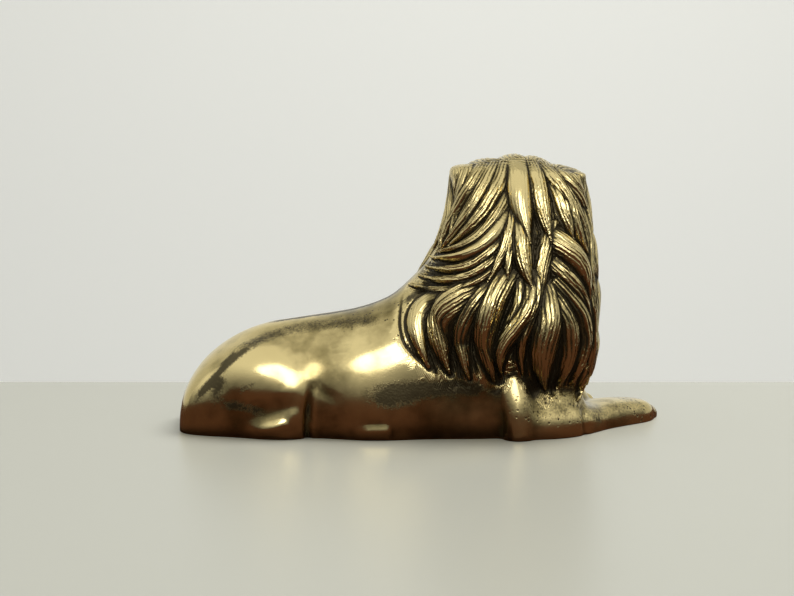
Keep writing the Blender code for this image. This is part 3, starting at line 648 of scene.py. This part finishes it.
def refined(mesh):
    """Cuts the skin of the mane and the face finer."""
    places, _ = vertex_arrays(mesh)
    x, y, z = (places / np.array(SCALE)).T
    fine = (x > MANE_REAR) & (z > MANE_FOOT) | (x > FACE_REAR) & (y > FACE_SIDE)
    fine &= x > SHOULDER_LEAN * (SHOULDER_TOP - z) + SHOULDER_REAR
    bm = bmesh.new()
    bm.from_mesh(mesh)
    bm.verts.ensure_lookup_table()
    chosen = [e for e in bm.edges if fine[e.verts[0].index] and fine[e.verts[1].index]]
    bmesh.ops.subdivide_edges(bm, edges=chosen, cuts=1, use_grid_fill=True, smooth=0.6)
    bm.to_mesh(mesh)
    bm.free()


def thinned(mesh, triangles):
    """The mesh with only as many triangles as asked for."""
    shape = bpy.data.objects.new("carved", mesh)
    bpy.context.collection.objects.link(shape)
    mesh.calc_loop_triangles()
    fewer = shape.modifiers.new("fewer faces", "DECIMATE")
    fewer.ratio = min(1, triangles / len(mesh.loop_triangles))
    result = applied(shape)
    bpy.data.objects.remove(shape)
    return result


def fitted(mesh):
    """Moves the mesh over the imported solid, and its ends until its box is that of the solid."""
    places, _ = vertex_arrays(mesh)
    low, high = places.min(0), places.max(0)
    cad_low, cad_high = np.array(CAD_BOX[0]), np.array(CAD_BOX[1])
    shift = (cad_low + cad_high - low - high) / 2 * (1, 1, 0)
    places, low, high = places + shift, low + shift, high + shift
    reach = FITTED_ENDS * (high - low)
    above = np.clip((places - high) / reach + 1, 0, 1)
    below = np.clip((low - places) / reach + 1, 0, 1)
    places += above * (cad_high - high) + below * (cad_low - low)
    move_vertices(mesh, places)


# Rounds of smoothing that even out grooves of three widths, with the weight of each
HOLLOW_SMOOTHINGS = ((3, 3.0), (10, 1.6), (40, 0.9))
FULL_HOLLOW = 0.001     # depth that counts as 1, in metres


def neighbour_mean(values, edges, counts):
    """The values of each vertex averaged with those of its neighbours."""
    total = values.copy()
    for k in range(values.shape[1]):
        total[:, k] += np.bincount(edges[:, 0], values[edges[:, 1], k], len(values))
        total[:, k] += np.bincount(edges[:, 1], values[edges[:, 0], k], len(values))
    return total / (counts + 1)[:, None]


def hollows(mesh):
    """How deep each vertex lies in a hollow, from 0 on a ridge to 1 in a groove."""
    places, normals = vertex_arrays(mesh)
    edges = np.empty(len(mesh.edges) * 2, np.int64)
    mesh.edges.foreach_get("vertices", edges)
    edges = edges.reshape(-1, 2)
    counts = np.bincount(edges.ravel(), minlength=len(places))
    smooth, depth = places.copy(), np.zeros(len(places))
    done = 0
    for rounds, weight in HOLLOW_SMOOTHINGS:
        while done < rounds:
            smooth = neighbour_mean(smooth, edges, counts)
            done += 1
        depth += weight * ((smooth - places) * normals).sum(1)
    return depth / FULL_HOLLOW


def store(mesh, name, values):
    """Keeps one number for each vertex, for the material to read."""
    layer = mesh.attributes.new(name, "FLOAT", "POINT")
    layer.data.foreach_set("value", values.astype(np.float32))


Mark = namedtuple("Mark", "chart root tip bow wave half_width strength")

# Dark marks painted on the brass, as soft strokes with the same bow and wave as the locks: stains, and
# painted dark reflections on the flank and along the spine
STAINS_AND_REFLECTIONS = (
    # Rump
    Mark("near", (-89, 14), (-67, 36), 1.2, 0, 2.2, 1.45),
    Mark("near", (-79, 28), (-74, 33), -0.6, 0, 1.3, 1.3),
    Mark("near", (-81, 13), (-78, 24), 0.8, 0, 3.4, 1.2),
    Mark("near", (-78, 13), (-62, 10), 0.8, 0, 2.6, 1.1),
    Mark("near", (-71, 18.5), (-65.5, 22), 0, 0, 1.4, 1.2),
    # Back: two dark bands, and a painted dark reflection along the spine
    Mark("near", (-74, 33), (-44, 42), 1.5, 0, 4.6, 0.85),
    Mark("near", (-50, 41), (-18, 45), 0.6, 0, 5.0, 0.75),
    # Painted dark reflection along the top of the spine
    Mark("top", (-62, -1), (-8, -1), 0, 0, 2.6, 1.5),
    # Flank: a painted reflection of a dark thing
    Mark("near", (-20, 17), (-2, 19), 0, 0, 6.2, 1.5),
    Mark("near", (-8, 19), (22, 20), 0.6, 0, 4.0, 1.5),
    # Root of the neck
    Mark("near", (-7.5, 52.5), (1.5, 58), 0, 0, 2.4, 1.4),
    # Near foreleg and paw
    Mark("near", (36, 16), (66, 10), 0, 0, 11, 0.5),
    Mark("near", (62, 9), (92, 6), 0, 0, 9, 0.5),
    Mark("near", (65, 7), (70, 3), 0.6, 0, 2.2, 1.0),
)

# Pitted places of the casting: back, shoulder, elbow, chest and crown
PITS = (
    Mark("near", (-40, 42), (-5, 50), 0, 0, 7, 0.7),
    Mark("near", (-8, 50), (-8, 34), 0, 0, 6, 0.7),
    Mark("near", (36, 16), (62, 9), 0, 0, 10, 1.0),
    Mark("front", (2, 6), (22, 4), 0, 0, 10, 1.0),
    Mark("near", (10, 100), (16, 104), 0, 0, 6, 1.0),
)


def painted(mesh, name, paths):
    """Stores how strongly each vertex is marked by the paths."""
    places, _ = vertex_arrays(mesh)
    tree = surface_tree(mesh)
    marks = np.zeros(len(places))
    for path in paths:
        index, t, side, beyond = beside(places, tree, path.chart, path)
        off = np.hypot(side, beyond) / (path.half_width * UNIT)
        ends = np.clip(6 * t * (1 - t) + 0.35, 0, 1)
        mark = path.strength * ends * np.clip(1 - off**2, 0, 1)
        marks[index] = np.maximum(marks[index], mark)
    store(mesh, name, marks)


COMB_SPACING = 1.25     # from one combed strand to the next, on the grid
COMB_NARROWING = 0.45   # share by which they draw together at a lock's tip
COMB_SWAY = 0.35        # how far they wander, in strands
SMOOTH_LOCK_COMB = 0.35  # how much they show on a lock that is carved smooth


def combed(mesh, sizes):
    """Stores across which strand of its lock each vertex lies, and how much strands show there."""
    places, _ = vertex_arrays(mesh)
    tree = surface_tree(mesh)
    best = np.full(len(places), -1.0)
    strand, shown = np.zeros(len(places)), np.zeros(len(places))
    for name, lock in all_locks():
        index, t, side, beyond = beside(places, tree, name, lock)
        rise, outside, _ = lock_rise(t, side, beyond, lock, sizes)
        wins = rise > best[index]
        chosen = index[wins]
        best[chosen] = rise[wins]
        narrowing = 1 - COMB_NARROWING * t[wins] ** 2
        strand[chosen] = side[wins] / (UNIT * COMB_SPACING * narrowing) + 7 * (lock.root[0] % 1)
        strand[chosen] += COMB_SWAY * np.sin(8 * t[wins] + lock.tip[1])
        strength = SMOOTH_LOCK_COMB if lock.strands < 2 else 1.0
        shown[chosen] = strength * np.clip(1.4 - outside[wins], 0, 1)
    shown *= 1 - bare_face(places)
    store(mesh, "strand", strand)
    store(mesh, "shown", shown)


HAND_WAVES = ((0.00012, 70), (0.00004, 190))  # height in metres, and how many to a metre


def hand_finish(mesh):
    """Leaves the faint waves that hand polishing leaves."""
    places, normals = vertex_arrays(mesh)
    wave = [sum(height * noise.noise(Vector(p) * count) for height, count in HAND_WAVES)
            for p in places]
    move_vertices(mesh, places + normals * np.array(wave)[:, None])


def tarnish_and_shade(mesh):
    """Stores how deep each vertex lies in the carving, and how dark the carving is painted besides: partly
    tarnish, and in the lower middle of the mane a painted dark reflection.
    """
    places, _ = vertex_arrays(mesh)
    x, y, z = (places / np.array(SCALE)).T
    carved = np.clip((x + 16) / 10, 0, 1) * np.clip((z - 14) / 8, 0, 1)
    carved = np.maximum(carved, (y > 22) * (x > 20)) * (1 - 0.4 * bare_face(places))
    # The crown is painted lighter, as lit: its hollows a little less dark, and less darkening there
    crown = np.clip((z - 74) / 14, 0, 1)
    open_grain = (0.22 + 0.78 * carved) * (1 - 0.22 * crown)
    store(mesh, "hollow", hollows(mesh) * open_grain)
    # Painted dark reflection over the lower middle of the mane, on top of the tarnish in the carving
    low_mane_shade = np.exp(-((z - 42) / 22) ** 2) * np.clip((x - 4) / 10, 0, 1)
    store(mesh, "soot_and_shade", carved * (0.35 + 0.65 * low_mane_shade) - 0.3 * crown)


def lion_mesh(sizes):
    """The whole figure, carved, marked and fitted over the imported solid."""
    mesh = fused((torso, mane, hindquarters, forelegs, tail, head))
    refined(mesh)
    hand_finish(mesh)
    combed(mesh, sizes)
    carve(mesh, sizes)
    # Stains, and painted dark reflections on the flank and spine
    painted(mesh, "stain_and_reflection", STAINS_AND_REFLECTIONS)
    painted(mesh, "pitted", PITS)
    cut_flat_below(mesh)
    mesh = thinned(mesh, sizes.triangles)
    fitted(mesh)
    tarnish_and_shade(mesh)
    mesh.shade_smooth()
    return mesh


class NodeMaker:
    """Short ways to add nodes to a material or a world."""

    def __init__(self, tree):
        self.tree = tree

    def add(self, kind, inputs=None, **settings):
        """A node with its settings, and its inputs linked to a socket or set to a value."""
        node = self.tree.nodes.new(kind)
        for name, value in settings.items():
            setattr(node, name, value)
        for name, value in (inputs or {}).items():
            if isinstance(value, bpy.types.NodeSocket):
                self.tree.links.new(value, node.inputs[name])
            else:
                node.inputs[name].default_value = value
        return node

    def math(self, operation, a, b=0.0, c=0.0):
        """A sum, product or other reckoning with up to three values."""
        return self.add("ShaderNodeMath", {0: a, 1: b, 2: c}, operation=operation).outputs[0]

    def ramp(self, value, low, high, to_low=0.0, to_high=1.0):
        """A smooth step between two values."""
        inputs = {"Value": value, "From Min": low, "From Max": high,
                  "To Min": to_low, "To Max": to_high}
        return self.add("ShaderNodeMapRange", inputs, interpolation_type="SMOOTHSTEP").outputs[0]

    def mix(self, factor, a, b):
        """A colour or colour socket mixed with a second colour."""
        a = a if isinstance(a, bpy.types.NodeSocket) else (*a, 1)
        node = self.add("ShaderNodeMix", {"Factor": factor, 6: a, 7: (*b, 1)}, data_type="RGBA")
        return node.outputs[2]

    def attribute(self, name):
        """A number stored for each vertex of the mesh."""
        return self.add("ShaderNodeAttribute", attribute_name=name).outputs["Fac"]

    def speckle(self, place, grain):
        """Soft spots of one size."""
        inputs = {"Vector": place, "Scale": grain.scale, "Detail": grain.detail}
        return self.add("ShaderNodeTexNoise", inputs).outputs["Fac"]


Grain = namedtuple("Grain", "scale detail")

# Spots in the metal's look, by how many there are to a metre
CLOUDS = Grain(35.0, 3.0)       # where the polish has dulled
GLOOM = Grain(55.0, 2.0)        # where tarnish has gathered
THINNING = Grain(120.0, 1.0)    # where strands fade
BLOTCHES = Grain(170.0, 4.0)    # ragged edges of patina and stains
WOBBLE = Grain(260.0, 2.0)      # unevenness of the strands
FINE_GRAIN = Grain(1300.0, 3.0)
PIT_GRAIN = 620.0

# How deep a hollow is where patina or olive begins, and where it is full
PATINA_DEPTH = (0.62, 1.22)
OLIVE_DEPTH = (0.16, 0.84)
# Edges and strength of the stains and of the painted dark reflections
STAIN_AND_REFLECTION_EDGE = (1.45, 2.4)
STAIN_AND_REFLECTION_STRENGTH = 0.92
PIT_EDGE = (0.34, 0.16)         # from a pit's rim to its floor, in shares of its cell
PITTED_CELLS = (0.5, 0.56)      # about half of the cells have no pit
PITTED_PLACES = (0.55, 0.9)
CLOUD_COLOUR = (0.4, 0.7)
CLOUD_STRENGTH = 0.35
CLOUD_GLOSS = (0.35, 0.7)
BRIGHT_ROUGHNESS, DULL_ROUGHNESS, PATINA_ROUGHNESS = 0.14, 0.24, 0.38
PATINA_METAL = 0.85
GRAIN_HEIGHT, PATINA_GRAIN_HEIGHT = 0.08, 0.6
STRAND_HEIGHT, PIT_HEIGHT = 0.55, -0.6
BUMP_STRENGTH, BUMP_DISTANCE = 0.8, 0.00022


def pit_mask(make, place, blotch, pitted):
    """Small round pits, where the casting is pitted."""
    cells = make.add("ShaderNodeTexVoronoi", {"Vector": place, "Scale": PIT_GRAIN}).outputs
    pick = make.add("ShaderNodeSeparateColor", {0: cells["Color"]}).outputs[0]
    seat = make.math("MULTIPLY", make.ramp(cells["Distance"], *PIT_EDGE),
                     make.ramp(pick, *PITTED_CELLS))
    where = make.ramp(make.math("MULTIPLY_ADD", blotch, 0.8, pitted), *PITTED_PLACES)
    return make.math("MULTIPLY", seat, where)


def brass_material(colours):
    """Polished brass with patina in its hollows, stains, painted dark reflections and painted shade, pits
    and combed strands.
    """
    material = bpy.data.materials.new("brass")
    material.use_nodes = True
    make = NodeMaker(material.node_tree)
    place = make.add("ShaderNodeTexCoord").outputs["Object"]
    hollow, stain_and_reflection, pitted, soot_and_shade, strand, shown = [
        make.attribute(name) for name in ("hollow", "stain_and_reflection", "pitted", "soot_and_shade", "strand", "shown")]
    blotch, fine, cloud = [make.speckle(place, grain) for grain in (BLOTCHES, FINE_GRAIN, CLOUDS)]

    # Combed strands
    wobble = make.math("MULTIPLY_ADD", make.speckle(place, WOBBLE), 1.1, strand)
    wave = make.math("SINE", make.math("MULTIPLY", wobble, 2 * math.pi))
    fading = make.ramp(make.speckle(place, THINNING), 0.35, 0.6, 0.35, 1.0)
    groove = make.math("MULTIPLY", make.ramp(wave, -0.2, -0.95),
                       make.math("MULTIPLY", shown, fading))

    # Tarnish by how deep a place lies, with painted shade over the lower mane, stains, painted dark
    # reflections and pits
    depth = make.math("MULTIPLY_ADD", groove, 0.28, hollow)
    depth = make.math("MULTIPLY_ADD", blotch, 0.7, depth)
    # Darkening of the carving, partly tarnish and partly painted shade over the lower mane
    gloom = make.math("MULTIPLY_ADD", make.speckle(place, GLOOM), 0.5,
                      make.math("MULTIPLY", soot_and_shade, 0.55))
    depth = make.math("ADD", depth, gloom)
    dark = make.ramp(depth, *PATINA_DEPTH)
    # Stains, and painted dark reflections on the flank and spine, in the patina colour
    ragged = make.math("MULTIPLY_ADD", blotch, 1.1, stain_and_reflection)
    ragged = make.math("MULTIPLY_ADD", fine, 1.5, ragged)
    marked = make.math("MULTIPLY", make.ramp(ragged, *STAIN_AND_REFLECTION_EDGE, 0.0, STAIN_AND_REFLECTION_STRENGTH),
                       make.ramp(stain_and_reflection, 0.0, 0.4))
    pits = pit_mask(make, place, blotch, pitted)
    mask = make.math("MAXIMUM", dark, make.math("MAXIMUM", marked, pits))

    # Colour
    worn = make.math("MULTIPLY", make.ramp(cloud, *CLOUD_COLOUR), CLOUD_STRENGTH)
    colour = make.mix(worn, colours.brass, colours.worn)
    colour = make.mix(make.ramp(depth, *OLIVE_DEPTH), colour, colours.olive_and_shade)
    colour = make.mix(mask, colour, colours.patina_and_shade)

    # Gloss and fine relief
    rough = make.math("MAXIMUM", make.ramp(mask, 0.0, 1.0, 0.0, PATINA_ROUGHNESS),
                      make.ramp(cloud, *CLOUD_GLOSS, BRIGHT_ROUGHNESS, DULL_ROUGHNESS))
    metal = make.ramp(mask, 0.0, 1.0, 1.0, PATINA_METAL)
    grain = make.math("MULTIPLY", make.math("SUBTRACT", fine, 0.5),
                      make.ramp(mask, 0.0, 0.6, GRAIN_HEIGHT, PATINA_GRAIN_HEIGHT))
    relief = make.math("MULTIPLY_ADD", make.math("MULTIPLY", wave, shown), STRAND_HEIGHT, grain)
    height = make.math("MULTIPLY_ADD", pits, PIT_HEIGHT, relief)
    bump = make.add("ShaderNodeBump", {"Height": height, "Strength": BUMP_STRENGTH,
                                       "Distance": BUMP_DISTANCE}).outputs[0]

    shader = make.tree.nodes["Principled BSDF"]
    for name, socket in (("Base Color", colour), ("Roughness", rough), ("Metallic", metal),
                         ("Normal", bump)):
        make.tree.links.new(socket, shader.inputs[name])
    return material


class LionSizes(PropertyGroup):
    """How deep and how fine the figure is carved"""
    lock_rise: FloatProperty(
        name="Lock rise", description="How far a lock of the mane stands out",
        default=0.0030, min=0.0, precision=5, subtype="DISTANCE")
    strand_depth: FloatProperty(
        name="Strand depth", description="Cut between two strands of a lock",
        default=0.00040, min=0.0, precision=5, subtype="DISTANCE")
    valley: FloatProperty(
        name="Valley", description="How deep the mane lies between its locks",
        default=0.0012, min=0.0, precision=5, subtype="DISTANCE")
    lock_fullness: FloatProperty(
        name="Lock fullness", description="Width of the locks as a multiple of that in their table",
        default=1.25, min=0.5, max=2.0, subtype="FACTOR")
    triangles: IntProperty(
        name="Triangles", description="Most triangles in the finished figure", default=196000, min=10000)


class LionColours(PropertyGroup):
    """Colours of the brass and of its tarnish, which also paint shade and dark reflections on it"""
    brass: FloatVectorProperty(
        name="Brass", description="Polished metal", default=(0.86, 0.70, 0.335), subtype="COLOR")
    worn: FloatVectorProperty(
        name="Worn", description="Duller metal in clouds", default=(0.70, 0.55, 0.25), subtype="COLOR")
    # Olive tarnish, which also paints the shade over the lower mane
    olive_and_shade: FloatVectorProperty(
        name="Olive", description="Tarnish beside the hollows", default=(0.31, 0.245, 0.10), subtype="COLOR")
    # Dark patina, which also paints the dark reflections on the flank and spine and the shade over the lower
    # mane
    patina_and_shade: FloatVectorProperty(
        name="Patina", description="Dark patina in the hollows",
        default=(0.046, 0.036, 0.018), subtype="COLOR")


class StageSettings(PropertyGroup):
    """Colours and lights of the stage"""
    floor: FloatVectorProperty(
        name="Floor", description="Pale floor", default=(0.34, 0.338, 0.292), subtype="COLOR")
    table: FloatVectorProperty(
        name="Table", description="What the brass mirrors below it",
        default=(0.075, 0.034, 0.022), subtype="COLOR")
    wall: FloatVectorProperty(
        name="Wall", description="Pale wall", default=(0.88, 0.88, 0.84), subtype="COLOR")
    room: FloatVectorProperty(
        name="Room", description="Soft light from all round", default=(0.75, 0.755, 0.72), subtype="COLOR")
    window: FloatProperty(
        name="Window", description="Light that the brass mirrors as a bright spot",
        default=4.0, min=0.0, subtype="POWER")
    ceiling: FloatProperty(
        name="Ceiling", description="Soft light from above", default=22.0, min=0.0, subtype="POWER")


class LION_OT_figure(Operator):
    """Carve the brass lion and let it stand for the plain solid"""
    bl_idname = "lion.figure"
    bl_label = "Brass lion"

    def execute(self, context):
        mesh = lion_mesh(context.scene.lion_sizes)
        mesh.materials.clear()
        mesh.materials.append(brass_material(context.scene.lion_colours))
        lion = bpy.data.objects.new("brass_lion", mesh)
        context.scene.collection.objects.link(lion)
        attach(lion, "root")
        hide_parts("lion")
        return {"FINISHED"}


# Camera, in metres from the place between the figure's middle and its near side
VIEW_SIDE, VIEW_DISTANCE, VIEW_HEIGHT = -0.0107, 0.600, 0.1194
VIEW_TILT = math.radians(6.41)
LENS = 69.0
NEAR_SHIFT = -0.0106    # how far that place is from the figure's middle, along Y

# Stage, in metres: the floor ends just behind the figure, and the wall is farther back
FLOOR_BACK = 0.108 + NEAR_SHIFT
STAGE_REACH = 12
APRON_DEPTH = 1
MIRROR_GAP = 0.0002     # from the floor down to the table that only reflections see
WALL_BACK, WALL_FOOT, WALL_TOP = 1.5, -2, 6
FLOOR_ROUGHNESS, WALL_ROUGHNESS = 0.35, 0.9
WALL_GLOW = 0.18

Lamp = namedtuple("Lamp", "name spot size mirrored")
LAMPS = (
    Lamp("window", (0.0, -1.05, 0.66), (1.2, 0.5), True),
    Lamp("ceiling", (0.5, 0.2, 1.3), (0.9, 0.9), False),
)

# The room's light, from this share of the way up to that one, and its strength at both
GLOW_HEIGHTS = (0.02, 0.62)
GLOW_STRENGTHS = (0.22, 1.05)


def plain_material(name, colour, roughness, more=None):
    """A material of one colour, with what else is set on its shader."""
    material = bpy.data.materials.new(name)
    material.use_nodes = True
    shader = material.node_tree.nodes["Principled BSDF"]
    values = {"Base Color": (*colour, 1), "Roughness": roughness, **(more or {})}
    for socket, value in values.items():
        shader.inputs[socket].default_value = value
    return material


def sheet(name, corners, material):
    """A flat part of the stage."""
    bm = bmesh.new()
    bm.faces.new([bm.verts.new(c) for c in corners])
    mesh = bpy.data.meshes.new(name)
    bm.to_mesh(mesh)
    bm.free()
    mesh.materials.append(material)
    shape = bpy.data.objects.new(name, mesh)
    bpy.context.scene.collection.objects.link(shape)
    return shape


def add_floor(look):
    """The pale floor with its straight back edge, and the dark table that the brass mirrors."""
    floor = plain_material("floor", look.floor, FLOOR_ROUGHNESS)
    left, right, back = -STAGE_REACH, STAGE_REACH, FLOOR_BACK
    corners = ((left, -STAGE_REACH, 0), (right, -STAGE_REACH, 0), (right, back, 0),
               (left, back, 0))
    ground = sheet("floor", corners, floor)
    ground.visible_glossy = ground.visible_shadow = False
    table = plain_material("table", look.table, 1.0, {"Specular IOR Level": 0})
    mirrored = sheet("table", [(x, y, -MIRROR_GAP) for x, y, _ in corners], table)
    mirrored.visible_camera = mirrored.visible_diffuse = mirrored.visible_shadow = False
    sheet("apron", ((right, back, -APRON_DEPTH), (left, back, -APRON_DEPTH), (left, back, 0),
                    (right, back, 0)), floor)


def add_wall(look):
    """The pale wall behind, which glows a little."""
    wall = plain_material("wall", look.wall, WALL_ROUGHNESS,
                          {"Emission Color": (*look.wall, 1), "Emission Strength": WALL_GLOW})
    left, right = -STAGE_REACH, STAGE_REACH
    sheet("wall", ((left, WALL_BACK, WALL_FOOT), (right, WALL_BACK, WALL_FOOT),
                   (right, WALL_BACK, WALL_TOP), (left, WALL_BACK, WALL_TOP)), wall)


def add_room_light(scene, look):
    """Soft light from all round, weaker from below."""
    world = bpy.data.worlds.new("room")
    scene.world = world
    world.use_nodes = True
    make = NodeMaker(world.node_tree)
    way = make.add("ShaderNodeTexCoord").outputs["Generated"]
    height = make.add("ShaderNodeSeparateXYZ", {0: way}).outputs["Z"]
    background = make.tree.nodes["Background"]
    background.inputs["Color"].default_value = (*look.room, 1)
    make.tree.links.new(make.ramp(height, *GLOW_HEIGHTS, *GLOW_STRENGTHS),
                        background.inputs["Strength"])


def add_lamp(scene, lamp, power):
    """A soft round lamp that faces the figure."""
    light = bpy.data.lights.new(lamp.name, "AREA")
    light.shape = "ELLIPSE"
    light.size, light.size_y = lamp.size
    light.energy = power
    holder = bpy.data.objects.new(lamp.name, light)
    holder.visible_glossy = lamp.mirrored
    holder.location = lamp.spot
    holder.rotation_euler = (-Vector(lamp.spot)).to_track_quat("-Z", "Y").to_euler()
    scene.collection.objects.link(holder)


def add_camera(scene):
    """The camera, level with the crown and looking a little down."""
    camera = bpy.data.cameras.new("camera")
    camera.lens = LENS
    holder = bpy.data.objects.new("camera", camera)
    holder.location = (VIEW_SIDE, NEAR_SHIFT - VIEW_DISTANCE, VIEW_HEIGHT)
    holder.rotation_euler = (math.pi / 2 - VIEW_TILT, 0, 0)
    scene.collection.objects.link(holder)
    scene.camera = holder


class LION_OT_stage(Operator):
    """Set up the floor, the wall, the lights and the camera"""
    bl_idname = "lion.stage"
    bl_label = "Stage"

    def execute(self, context):
        scene = context.scene
        look = scene.lion_stage
        add_floor(look)
        add_wall(look)
        add_room_light(scene, look)
        scene.view_settings.view_transform = "Standard"
        for lamp, power in zip(LAMPS, (look.window, look.ceiling)):
            add_lamp(scene, lamp, power)
        add_camera(scene)
        return {"FINISHED"}


class LION_PT_panel(Panel):
    """The lion's sizes, colours and parts in the sidebar"""
    bl_idname = "LION_PT_panel"
    bl_label = "Brass lion"
    bl_space_type = "VIEW_3D"
    bl_region_type = "UI"
    bl_category = "Lion"

    def draw(self, context):
        scene = context.scene
        for group in (scene.lion_sizes, scene.lion_colours, scene.lion_stage):
            for name in type(group).__annotations__:
                self.layout.prop(group, name)
        self.layout.operator("lion.figure")
        self.layout.operator("lion.stage")


CLASSES = (LionSizes, LionColours, StageSettings, LION_OT_figure, LION_OT_stage, LION_PT_panel)


def register():
    """Adds the classes and the settings of a scene."""
    for cls in CLASSES:
        bpy.utils.register_class(cls)
    bpy.types.Scene.lion_sizes = PointerProperty(type=LionSizes)
    bpy.types.Scene.lion_colours = PointerProperty(type=LionColours)
    bpy.types.Scene.lion_stage = PointerProperty(type=StageSettings)


def unregister():
    """Takes them away again."""
    del bpy.types.Scene.lion_stage
    del bpy.types.Scene.lion_colours
    del bpy.types.Scene.lion_sizes
    for cls in reversed(CLASSES):
        bpy.utils.unregister_class(cls)


def main():
    """Registers the add-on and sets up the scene."""
    register()
    bpy.ops.lion.stage()
    bpy.ops.lion.figure()


if __name__ == "__main__":
    main()
